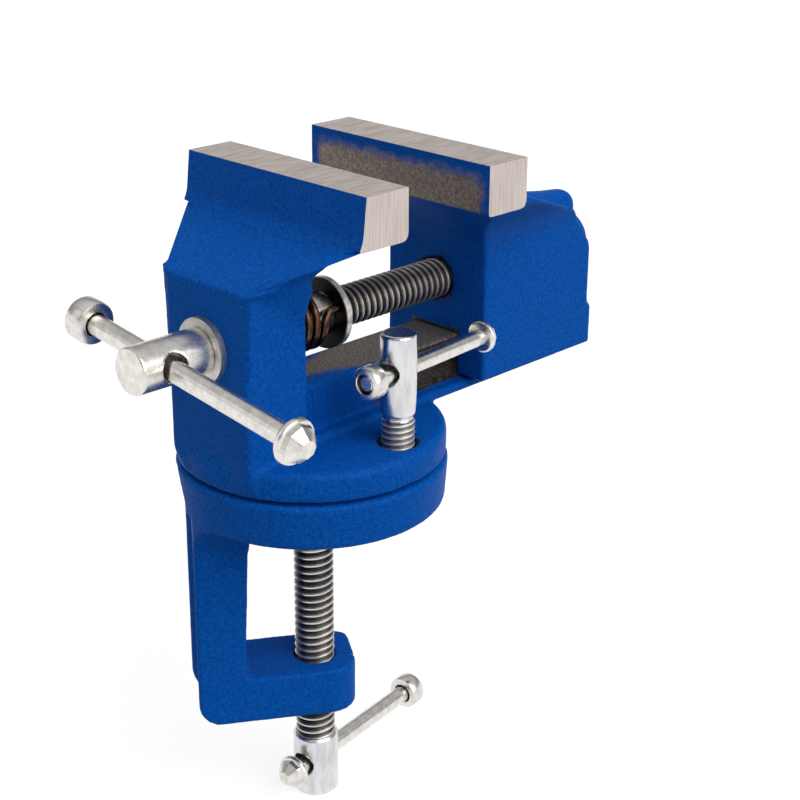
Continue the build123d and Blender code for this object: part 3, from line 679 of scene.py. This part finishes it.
def mill_ends(piece, floor_height):
    """Cut both ends of a jaw to size, on everything above a height."""
    for side in (-1, 1):
        pick(piece, lambda c: c.z > floor_height)
        bpy.ops.mesh.bisect(
            plane_co=(side * JAW_HALF, 0, 0),
            plane_no=(side, 0, 0),
            use_fill=True,
            clear_outer=True,
            threshold=CUT_THRESHOLD,
        )
        bpy.ops.object.mode_set(mode="OBJECT")


# %% [markdown]
# ### The fixed jaw
# This casting holds the upper disc, the column, the jaw and the rail. Under each end of the jaw, an
# arched flare meets the sloped front in a thin wedge, and a voxel remesh eats thin wedges. So small
# three-sided bars fill the inner corners and the column's edges before the remesh, and a lip with a
# broken corner draws the straight edge again after it.

# %% Places on the fixed jaw
RAIL_HALF = 7.72 * MM
RAIL_TOP = 32.0 * MM
RAIL_FOOT = 20.5 * MM
COLUMN_REAR = -14.0 * MM
FLARE_X = (13.4 * MM, 20.0 * MM)
FLARE_Y = (-29.5 * MM, COLUMN_REAR + MM)
FLARE_Z = (50.0 * MM, 63.5 * MM)


def on_rail(c):
    """True on the milled upper part of the rail."""
    beside = abs(c.x) < RAIL_HALF + SKIN_VOXEL
    upright = RAIL_FOOT < c.z < RAIL_TOP + SKIN_VOXEL
    return beside and upright and c.y > COLUMN_REAR + MM


def under_flare(c):
    """True round the inner corner where a flare leaves the side of the column."""
    spans = zip((abs(c.x), c.y, c.z), (FLARE_X, FLARE_Y, FLARE_Z))
    return all(low < value < high for value, (low, high) in spans)


# %% Small bars for the corners and edges
def three_sided(name, first_end, second_end, side):
    """A three-sided bar between two triangles, on one side of the vise."""
    bpy.ops.mesh.primitive_cylinder_add(vertices=3, radius=MM, depth=MM)
    bar = bpy.context.object
    bar.name = name
    for vertex in bar.data.vertices:
        corners = first_end if vertex.co.z < 0 else second_end
        x, y, z = corners[vertex.index // 2]
        vertex.co = (side * x * MM, y * MM, z * MM)
    bpy.ops.object.mode_set(mode="EDIT")
    bpy.ops.mesh.select_all(action="SELECT")
    bpy.ops.mesh.normals_make_consistent(inside=False)
    bpy.ops.object.mode_set(mode="OBJECT")
    return bar


def flare_fill(side):
    """Metal in the inner corner between a flare and the column, growing towards the rear."""
    front = ((13.6, -29.5, 59.2), (14.1, -29.5, 57.6), (15.6, -29.5, 60.2))
    rear = ((13.4, -14.05, 55.6), (14.1, -14.05, 49.5), (18.6, -14.05, 60.4))
    return three_sided("flare_fill", front, rear, side)


def column_edge(side):
    """Metal along the column's front edge, so that it runs into the foot of the ridge."""
    low = ((13.0, -31.2, 24.0), (13.7, -30.9, 24.0), (14.0, -22.0, 24.0))
    high = ((13.0, -31.45, 60.4), (15.3, -30.95, 60.4), (14.6, -22.0, 60.4))
    return three_sided("column_edge", low, high, side)


def ridge_lip(side):
    """The straight edge between the sloped front and a flare, with a broken corner."""
    foot = ((14.1, -31.5, 60.55), (14.1, -28.5, 60.85), (14.1, -26.2, 63.03))
    tip = ((29.3, -12.4, 69.5), (29.3, -9.4, 69.8), (29.3, -8.0, 71.6))
    lip = three_sided("ridge_lip", foot, tip, side)
    apply_step(lip, "BEVEL", width=0.35 * MM, segments=2)
    return lip


# %% Fixed jaw
fixed_casting = copy_of("fixed_jaw", "fixed_casting")
leave_jaw_stock(fixed_casting)
join(fixed_casting, flare_fill(-1), flare_fill(1), column_edge(-1), column_edge(1))
cast_skin(fixed_casting, on_rail, under_flare)
thin_out(fixed_casting)
mill(fixed_casting, (0, 0, JAW_TOP), (0, 0, 1))
mill_ends(fixed_casting, RAIL_TOP)
join(fixed_casting, ridge_lip(-1), ridge_lip(1))
FIXED_FACE = 2.0 * MM
LOCK_X = 23.8 * MM
LOCK_Y = 5.5 * MM
LOCK_MOUTH = 5.0 * MM


def fixed_jaw_finish(c, n):
    """Milled top and ends, rail, mouth of the lock screw's hole, clamping face, and paint elsewhere."""
    if c.z > JAW_TOP - TOUCH:
        return milled_top
    if abs(c.x) > JAW_HALF - TOUCH and c.z > RAIL_TOP:
        return milled_end
    if on_rail(c):
        return rail_top if c.z > RAIL_TOP - MM else rail_side
    if Vector((c.x - LOCK_X, c.y - LOCK_Y)).length < LOCK_MOUTH and c.z < RAIL_TOP:
        return bare_iron
    if n.y > FACING and abs(c.y - FIXED_FACE) < SKIN_VOXEL and c.z > RAIL_TOP:
        return worn_face
    return blue_paint


JAW_FINISHES = [blue_paint, milled_top, milled_end, rail_top, rail_side, worn_face, bare_iron]
paint_faces(fixed_casting, JAW_FINISHES, fixed_jaw_finish)
smooth_by(fixed_casting, CAST_CREASE)
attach(fixed_casting, "vise")
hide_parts("fixed_jaw")
print("fixed casting faces:", len(fixed_casting.data.polygons))

# %% [markdown]
# ### The moving jaw
# The moving jaw straddles the rail: its channel is bare, and the screw runs in its bore. It is made as
# the fixed jaw is. The channel's walls keep their exact place, because they slide on the rail.

# %% Moving jaw
CHANNEL_HALF = 7.8 * MM
NECK_TOP = 60.0 * MM


def in_channel(c):
    """True on the walls of the channel that runs on the rail."""
    return abs(c.x) < CHANNEL_HALF + SKIN_VOXEL and c.z < RAIL_TOP + 2 * SKIN_VOXEL


moving_casting = copy_of("moving_jaw", "moving_casting")
leave_jaw_stock(moving_casting)
cast_skin(moving_casting, in_channel, lambda c: False)
thin_out(moving_casting)
mill(moving_casting, (0, 0, JAW_TOP), (0, 0, 1))
mill_ends(moving_casting, RAIL_TOP)


def moving_jaw_finish(c, n):
    """Milled top and ends, channel, neck with grease and painted shade, clamping face, paint elsewhere.
    """
    if c.z > JAW_TOP - TOUCH:
        return milled_top
    if abs(c.x) > JAW_HALF - TOUCH:
        return milled_end
    if in_channel(c):
        return bare_iron
    # The neck round the bore gets black grease and painted shade.
    if n.y < -FACING and RAIL_TOP < c.z < NECK_TOP:
        return grease_and_shade_face
    if n.y < -FACING and abs(c.y - MOVING_FACE) < SKIN_VOXEL and c.z > RAIL_TOP:
        return worn_face
    return blue_paint


SLIDER_FINISHES = [blue_paint, milled_top, milled_end, bare_iron, worn_face, grease_and_shade_face]
paint_faces(moving_casting, SLIDER_FINISHES, moving_jaw_finish)
smooth_by(moving_casting, CAST_CREASE)
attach(moving_casting, "slider")
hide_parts("moving_jaw")
print("moving casting faces:", len(moving_casting.data.polygons))

# %% [markdown]
# ### The clamp frame
# The lower base, the spine and the arm are one casting. The two upright edges at the arm's end are
# rounded first, with a bevel on the picked edges. Then it gets a cast skin and paint, and nothing on
# it is milled.

# %% Clamp frame
ARM_CORNERS = ((-3.05 * MM, 13.67 * MM, 4.0 * MM), (7.85 * MM, 6.59 * MM, 1.5 * MM))
ARM_TOP = -45.0 * MM


def round_corner(piece, x, y, radius):
    """Round the upright edge of the clamp arm at this place."""
    pick(piece, lambda c: (Vector((c.x, c.y)) - Vector((x, y))).length < 10 * TOUCH and c.z < ARM_TOP)
    bpy.ops.mesh.bevel(offset=radius, segments=6, affect="EDGES")
    bpy.ops.object.mode_set(mode="OBJECT")


clamp_casting = copy_of("clamp_frame", "clamp_casting")
for corner in ARM_CORNERS:
    round_corner(clamp_casting, *corner)
cast_skin(clamp_casting, lambda c: False, lambda c: False)
thin_out(clamp_casting)
paint_faces(clamp_casting, [blue_paint], lambda c, n: blue_paint)
smooth_by(clamp_casting, CAST_CREASE)
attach(clamp_casting, "clamp")
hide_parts("clamp_frame")
print("clamp casting faces:", len(clamp_casting.data.polygons))

# %% [markdown]
# ## Threads
# A thread is one tooth wound round an axis. The tooth's outline is an open line of four points, from
# groove to crest and back to the next groove. A screw modifier winds it, the turns are welded, and two
# flat cuts close the ends. The heads come from copies of the solids, cut off where the thread starts.

# %% A wound thread
TURN_STEPS = 48
CREST_SHARE = 0.16
WELD_REACH = 0.002 * MM


def wound_thread(name, major, minor, pitch, length):
    """A solid right-hand thread on the Z axis, from the origin upwards."""
    bpy.ops.mesh.primitive_circle_add(vertices=4, radius=major)
    piece = bpy.context.object
    piece.name = name
    low_flank = pitch * (1 - CREST_SHARE) / 2
    outline = ((minor, 0), (major, low_flank), (major, pitch - low_flank), (minor, pitch))
    for vertex, (radius, height) in zip(piece.data.vertices, outline):
        vertex.co = (radius, 0, height - 2 * pitch)
    bpy.ops.object.mode_set(mode="EDIT")
    bpy.ops.mesh.select_mode(type="EDGE")
    bpy.ops.mesh.select_all(action="DESELECT")
    bpy.ops.object.mode_set(mode="OBJECT")
    for edge in piece.data.edges:
        edge.select = set(edge.vertices) == {0, 3}
    bpy.ops.object.mode_set(mode="EDIT")
    bpy.ops.mesh.delete(type="EDGE")
    bpy.ops.object.mode_set(mode="OBJECT")
    turns = int(length / pitch) + 4
    apply_step(
        piece,
        "SCREW",
        axis="Z",
        screw_offset=pitch,
        iterations=turns,
        steps=TURN_STEPS,
        render_steps=TURN_STEPS,
    )
    choose(piece)
    bpy.ops.object.mode_set(mode="EDIT")
    bpy.ops.mesh.select_all(action="SELECT")
    bpy.ops.mesh.remove_doubles(threshold=WELD_REACH)
    bpy.ops.mesh.normals_make_consistent(inside=False)
    bpy.ops.object.mode_set(mode="OBJECT")
    mill(piece, (0, 0, 0), (0, 0, -1))
    mill(piece, (0, 0, length), (0, 0, 1))
    return piece


def stand(piece, place, direction):
    """Put a piece made on the Z axis at a place, with its axis along a direction."""
    turn = Vector(direction).to_track_quat("Z", "Y").to_matrix().to_4x4()
    piece.matrix_world = Matrix.Translation(Vector(place)) @ turn
    settle(piece)


# %% Tools for heads
HEAD_VOXEL = 0.25 * MM
HEAD_SMOOTHING = 5
TURNED_CREASE = 32


def even_skin(piece):
    """Replace long triangles by an even mesh with slightly broken edges, so that it shades well."""
    apply_step(piece, "REMESH", mode="VOXEL", voxel_size=HEAD_VOXEL)
    apply_step(piece, "SMOOTH", factor=SMOOTH_SHARE, iterations=HEAD_SMOOTHING)


def finish_with(piece, material):
    """Give a piece one material and shade it smooth between creases."""
    piece.data.materials.clear()
    piece.data.materials.append(material)
    smooth_by(piece, TURNED_CREASE)


def hand_over(piece, body, node):
    """Let a finished piece ride on its body in place of a solid."""
    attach(piece, body)
    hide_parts(node)
    print(piece.name, "faces:", len(piece.data.polygons))


# %% [markdown]
# ### The main screw
# The screw's head is a thick cylinder with a cross hole for the bar, and it stands outside the column.
# The solid's own triangles are long and would shade in streaks, so the head gets an even mesh. Its
# thread runs from the inner washer to the far end.

# %% Main screw
# The groove colour is painted shade in the thread's grooves, with oil on this screw.
OILY_GROOVE_SHADE = (0.055, 0.046, 0.041)
OILY_CREST = (0.48, 0.45, 0.42)
THREAD_START_Y = 6.8 * MM
THREAD_MAJOR = 5.0 * MM
THREAD_MINOR = 4.05 * MM
THREAD_PITCH = 2.0 * MM
SCREW_END_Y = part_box("main_screw")[1][1]

screw_head = copy_of("main_screw", "turned_main_screw")
mill(screw_head, (0, THREAD_START_Y, 0), (0, 1, 0))
even_skin(screw_head)
finish_with(screw_head, bright_nickel)
main_length = SCREW_END_Y - THREAD_START_Y
main_thread = wound_thread("main_thread", THREAD_MAJOR, THREAD_MINOR, THREAD_PITCH, main_length)
stand(main_thread, (0, THREAD_START_Y, SCREW_Z), (0, 1, 0))
oily_shaded_thread = thread_finish(
    "oily_shaded_thread", (0, SCREW_Z), True, OILY_GROOVE_SHADE, OILY_CREST, THREAD_MINOR, THREAD_MAJOR
)
finish_with(main_thread, oily_shaded_thread)
hand_over(join(screw_head, main_thread), "screw", "main_screw")

# %% [markdown]
# ### The clamp screw
# This screw stands on the swivel axis and lifts the pad. It has a head below, a long clean thread and
# a smooth tip inside the pad, so it is joined from three pieces.

# %% Clamp screw
# The groove colour is painted shade in the thread's grooves.
CLEAN_GROOVE_SHADE = (0.10, 0.088, 0.078)
CLEAN_CREST = (0.70, 0.67, 0.63)
CLAMP_HEAD_Z = -68.2 * MM
CLAMP_THREAD_TOP = -9.55 * MM

clamp_head = copy_of("clamp_screw", "turned_clamp_screw")
mill(clamp_head, (0, 0, CLAMP_HEAD_Z), (0, 0, 1))
even_skin(clamp_head)
finish_with(clamp_head, bright_zinc)
clamp_tip = copy_of("clamp_screw", "clamp_tip")
mill(clamp_tip, (0, 0, CLAMP_THREAD_TOP), (0, 0, -1))
finish_with(clamp_tip, bright_zinc)
clamp_thread = wound_thread(
    "clamp_thread", THREAD_MAJOR, THREAD_MINOR, THREAD_PITCH, CLAMP_THREAD_TOP - CLAMP_HEAD_Z
)
stand(clamp_thread, (0, 0, CLAMP_HEAD_Z), (0, 0, 1))
clean_thread = thread_finish(
    "clean_thread", (0, 0), False, CLEAN_GROOVE_SHADE, CLEAN_CREST, THREAD_MINOR, THREAD_MAJOR
)
finish_with(clamp_thread, clean_thread)
hand_over(join(clamp_head, clamp_tip, clamp_thread), "clamp_spindle", "clamp_screw")

# %% [markdown]
# ### The lock screw
# A post with a cross hole stands on a short, fine thread, which goes into the upper disc and holds
# the swivel still.

# %% Lock screw
# The groove colour is painted shade in the thread's grooves.
LOCK_GROOVE_SHADE = (0.30, 0.29, 0.28)
LOCK_CREST = (0.80, 0.79, 0.77)
LOCK_FOOT_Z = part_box("lock_screw")[0][2]
LOCK_NECK_Z = 25.0 * MM
LOCK_MAJOR = 3.95 * MM
LOCK_MINOR = 3.2 * MM
LOCK_PITCH = 1.5 * MM

lock_post = copy_of("lock_screw", "turned_lock_screw")
mill(lock_post, (0, 0, LOCK_NECK_Z), (0, 0, -1))
even_skin(lock_post)
finish_with(lock_post, bright_zinc)
lock_thread = wound_thread("lock_thread", LOCK_MAJOR, LOCK_MINOR, LOCK_PITCH, LOCK_NECK_Z - LOCK_FOOT_Z)
stand(lock_thread, (LOCK_X, LOCK_Y, LOCK_FOOT_Z), (0, 0, 1))
lock_finish = thread_finish(
    "lock_finish", (LOCK_X, LOCK_Y), False, LOCK_GROOVE_SHADE, LOCK_CREST, LOCK_MINOR, LOCK_MAJOR
)
finish_with(lock_thread, lock_finish)
hand_over(join(lock_post, lock_thread), "lock", "lock_screw")

# %% [markdown]
# ## Sliding bars
# Each bar has a head that was hammered into a cup, so its dome has flat facets and a small flat end.
# The other end carries a pressed collar with a seam round the bar, dark with oil and painted
# shade. Both are lathe work: a circle is extruded and resized from station to station.

# %% Lathe work
ROUND_CORNERS = 64


def turned(name, stations, corners=ROUND_CORNERS, closed_ring=False):
    """Lathe work on the Z axis through stations of radius and height; a ring closes on itself."""
    radius, height = stations[0]
    bpy.ops.mesh.primitive_circle_add(
        vertices=corners, radius=radius, fill_type="NOTHING" if closed_ring else "NGON"
    )
    piece = bpy.context.object
    piece.name = name
    bpy.ops.object.mode_set(mode="EDIT")
    bpy.ops.mesh.select_all(action="SELECT")
    bpy.ops.transform.translate(value=(0, 0, height))
    for next_radius, next_height in stations[1:]:
        bpy.ops.mesh.extrude_region_move(TRANSFORM_OT_translate={"value": (0, 0, next_height - height)})
        ratio = next_radius / radius
        bpy.ops.transform.resize(value=(ratio, ratio, 1))
        radius, height = next_radius, next_height
    bpy.ops.mesh.select_all(action="SELECT")
    bpy.ops.mesh.remove_doubles(threshold=WELD_REACH)
    bpy.ops.mesh.normals_make_consistent(inside=False)
    bpy.ops.object.mode_set(mode="OBJECT")
    return piece


# %% A formed head
HEAD_FACETS = 8
RIM_SHARE = 0.30
DOME_SHARE = 0.88
DOME_END_SHARE = 0.44
RIM_CREASE = 40
FACET_CREASE = 12


def formed_head(name, radius, thickness):
    """A rim and a faceted dome, standing on the origin."""
    rim_top = RIM_SHARE * thickness
    rim = turned(
        name,
        [
            (0.80 * radius, 0),
            (0.95 * radius, 0.08 * thickness),
            (radius, 0.5 * rim_top),
            (0.985 * radius, rim_top),
            (0.93 * radius, 1.2 * rim_top),
            (0.80 * radius, 1.3 * rim_top),
        ],
    )
    dome = turned(
        name + "_dome",
        [
            (DOME_SHARE * radius, 0.5 * rim_top),
            (DOME_SHARE * radius, 1.2 * rim_top),
            (0.81 * radius, 0.58 * thickness),
            (DOME_END_SHARE * radius, 0.95 * thickness),
            (0.9 * DOME_END_SHARE * radius, thickness),
        ],
        corners=HEAD_FACETS,
    )
    apply_step(dome, "BEVEL", width=0.03 * radius, segments=2, limit_method="ANGLE")
    return rim, dome


# %% A pressed collar
COLLAR_EDGE = 0.9 * MM
SEAM_WIDTH = 0.32 * MM
SEAM_DEPTH = 0.7 * MM
PRESS_GAP = 0.03 * MM


def pressed_collar(name, bore, radius, thickness):
    """A ring with rounded edges and a seam round the bar on both faces, centred on the origin."""
    half = thickness / 2
    wall = bore + PRESS_GAP
    shaded_seam_edge = wall + 0.8 * SEAM_WIDTH
    side = [
        (wall, half - SEAM_DEPTH),
        (wall + SEAM_WIDTH, half - 0.25 * SEAM_DEPTH),
        (wall + 1.5 * SEAM_WIDTH, half),
        (radius - COLLAR_EDGE, half),
        (radius - 0.3 * COLLAR_EDGE, half - 0.3 * COLLAR_EDGE),
        (radius, half - COLLAR_EDGE),
    ]
    other_side = [(r, -height) for r, height in reversed(side)]
    ring = turned(name, side + other_side + side[:1], closed_ring=True)
    # The faces in the seam get dark oil and painted shade.
    paint_faces(
        ring,
        [bright_nickel, oil_and_seam_shade],
        lambda c, n: oil_and_seam_shade if Vector((c.x, c.y)).length < shaded_seam_edge else bright_nickel,
    )
    smooth_by(ring, RIM_CREASE)
    return ring


# %% A whole bar
COLLAR_RECESS = 0.6 * MM


def sliding_bar(stem, body, direction, span, bar_radius, knob_radius, thickness):
    """A bar with a formed head at one end and a collar at the other, from the collar to the head."""
    low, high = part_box(stem + "_collar")
    middle = (Vector(low) + Vector(high)) / 2
    start = COLLAR_RECESS - thickness / 2
    bar = turned(
        "turned_" + stem,
        [
            (bar_radius - 0.4 * MM, start),
            (bar_radius, start + 0.3 * MM),
            (bar_radius, span - thickness / 2),
            (bar_radius, span),
        ],
    )
    finish_with(bar, bright_nickel)
    rim, dome = formed_head(stem + "_head", knob_radius, thickness)
    for piece, angle in ((rim, RIM_CREASE), (dome, FACET_CREASE)):
        piece.data.materials.append(bright_nickel)
        smooth_by(piece, angle)
        piece.location = (0, 0, span - thickness / 2)
        settle(piece)
    bar = join(bar, rim, dome)
    stand(bar, middle, direction)
    hand_over(bar, body, stem)
    collar = pressed_collar("pressed_" + stem + "_collar", bar_radius, knob_radius, thickness)
    stand(collar, middle, direction)
    hand_over(collar, body, stem + "_collar")


# %% [markdown]
# The three bars differ in size and direction only. Each stands where its collar's solid is.

# %% The three bars
MAIN_TILT = radians(-6.7)
LOCK_YAW = radians(94.0)
CLAMP_YAW = radians(97.7)
sliding_bar(
    "main_bar",
    "handle",
    direction=(cos(MAIN_TILT), 0, sin(MAIN_TILT)),
    span=71.6 * MM,
    bar_radius=2.5 * MM,
    knob_radius=5.2 * MM,
    thickness=5.6 * MM,
)
sliding_bar(
    "lock_bar",
    "lock_handle",
    direction=(cos(LOCK_YAW), sin(LOCK_YAW), 0),
    span=42.0 * MM,
    bar_radius=2.0 * MM,
    knob_radius=4.0 * MM,
    thickness=4.4 * MM,
)
sliding_bar(
    "clamp_bar",
    "clamp_handle",
    direction=(-cos(CLAMP_YAW), -sin(CLAMP_YAW), 0),
    span=50.0 * MM,
    bar_radius=2.2 * MM,
    knob_radius=4.4 * MM,
    thickness=4.8 * MM,
)

# %% [markdown]
# ## Washers, spring, bolt and pad
# These solids already have their real shape, so they keep it and get a finish.

# %% Finishes on the small solids
SOLID_FINISHES = {
    "thrust_washer": dull_zinc,
    "inner_washer": shaded_washer,
    "retaining_clip": oil_and_seam_shade,
    "take_up_spring": spring_steel,
    "clamp_pad": bright_zinc,
    "pivot_bolt": bright_zinc,
    "pivot_washer": bright_zinc,
}
for node, material in SOLID_FINISHES.items():
    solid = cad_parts[node]
    solid.data.materials.clear()
    solid.data.materials.append(material)
print("finished solids:", sorted(SOLID_FINISHES))

# %% [markdown]
# ## Studio
# The floor is white to the camera and in reflections, and it still darkens under the vise. A low round
# wall, far away, is white in the same way, so that low views have no horizon. The world is bright
# overhead and dim lower down, so that bars and posts show light and dark bands. A broad lamp from the
# right lights the sides and the milled ends, and the front stays darker.

# %% Floor and backdrop
FLOOR_Z = cad_box[0][2] - 0.5 * MM
FLOOR_SIZE = 60.0
FLOOR_COLOUR = (0.40, 0.40, 0.40)
FLOOR_GLOW = 0.75
WALL_RADIUS = 6.0
WALL_HEIGHT = 1.5
WALL_GLOW = 1.0


def studio_white(name, glow_strength, shaded):
    """A pale finish that glows to the camera and in mirrors; a shaded one keeps its shadows there."""
    material, tree, shader, place = new_finish(name, FLOOR_COLOUR, 0.0, 0.9)
    shader.inputs["Specular IOR Level"].default_value = 0.0
    glow = tree.nodes.new("ShaderNodeEmission")
    glow.inputs["Color"].default_value = (1, 1, 1, 1)
    glow.inputs["Strength"].default_value = glow_strength
    shown = glow.outputs["Emission"]
    if shaded:
        lit = tree.nodes.new("ShaderNodeAddShader")
        tree.links.new(shader.outputs["BSDF"], lit.inputs[0])
        tree.links.new(shown, lit.inputs[1])
        shown = lit.outputs["Shader"]
    rays = tree.nodes.new("ShaderNodeLightPath")
    glossy, through = rays.outputs["Is Glossy Ray"], rays.outputs["Is Transmission Ray"]
    mirrored = add_math(tree, "MAXIMUM", glossy, through)
    seen = add_math(tree, "MAXIMUM", rays.outputs["Is Camera Ray"], mirrored)
    blend = tree.nodes.new("ShaderNodeMixShader")
    tree.links.new(seen, blend.inputs["Fac"])
    tree.links.new(shader.outputs["BSDF"], blend.inputs[1])
    tree.links.new(shown, blend.inputs[2])
    tree.links.new(blend.outputs["Shader"], tree.nodes["Material Output"].inputs["Surface"])
    return material


bpy.ops.mesh.primitive_plane_add(size=FLOOR_SIZE, location=(0, 0, FLOOR_Z))
floor = bpy.context.object
floor.name = "studio_floor"
bpy.ops.mesh.primitive_cylinder_add(
    vertices=96,
    radius=WALL_RADIUS,
    depth=WALL_HEIGHT,
    end_fill_type="NOTHING",
    location=(0, 0, FLOOR_Z + WALL_HEIGHT / 2),
)
wall = bpy.context.object
wall.name = "studio_wall"
floor.data.materials.append(studio_white("floor_white", FLOOR_GLOW, True))
wall.data.materials.append(studio_white("wall_white", WALL_GLOW, False))
for stage_piece in (floor, wall):
    settle(stage_piece)
print("stage:", floor.name, wall.name)

# %% World
HORIZON_LIGHT = (0.14, 0.14, 0.145)
OVERHEAD_LIGHT = (0.66, 0.66, 0.66)

world = bpy.data.worlds.new("studio_world")
bpy.context.scene.world = world
world.use_nodes = True
tree = world.node_tree
direction = tree.nodes.new("ShaderNodeTexCoord")
height = split_place(tree, direction.outputs["Generated"])[2]
sky = add_ramp(tree, height, [(0.0, HORIZON_LIGHT), (0.25, HORIZON_LIGHT), (0.85, OVERHEAD_LIGHT)])
tree.links.new(sky, tree.nodes["Background"].inputs["Color"])
print("world:", world.name)

# %% [markdown]
# The key lamp is a sun with a wide disc: its light is even over the whole floor, which then is white
# all over, and its shadows are soft. A small lamp on the left lifts the front a little.

# %% Lamps
KEY_PLACE = (0.85, 0.05, 0.55)
KEY_POWER = 2.15
KEY_SPREAD = 60
FILL_PLACE = (-0.5, -0.8, 0.5)
FILL_POWER = 0.9
FILL_SIZE = 0.7


def aim(lamp, name):
    """Name a lamp and point it at the vise."""
    lamp.name = name
    lamp.rotation_euler = (-lamp.location).to_track_quat("-Z", "Y").to_euler()


bpy.ops.object.light_add(type="SUN", location=KEY_PLACE)
key_lamp = bpy.context.object
key_lamp.data.energy = KEY_POWER
key_lamp.data.angle = radians(KEY_SPREAD)
aim(key_lamp, "key_lamp")
bpy.ops.object.light_add(type="AREA", location=FILL_PLACE)
fill_lamp = bpy.context.object
fill_lamp.data.energy = FILL_POWER
fill_lamp.data.size = FILL_SIZE
aim(fill_lamp, "fill_lamp")
bpy.context.scene.view_settings.view_transform = "Standard"
print("lamps:", key_lamp.name, fill_lamp.name)
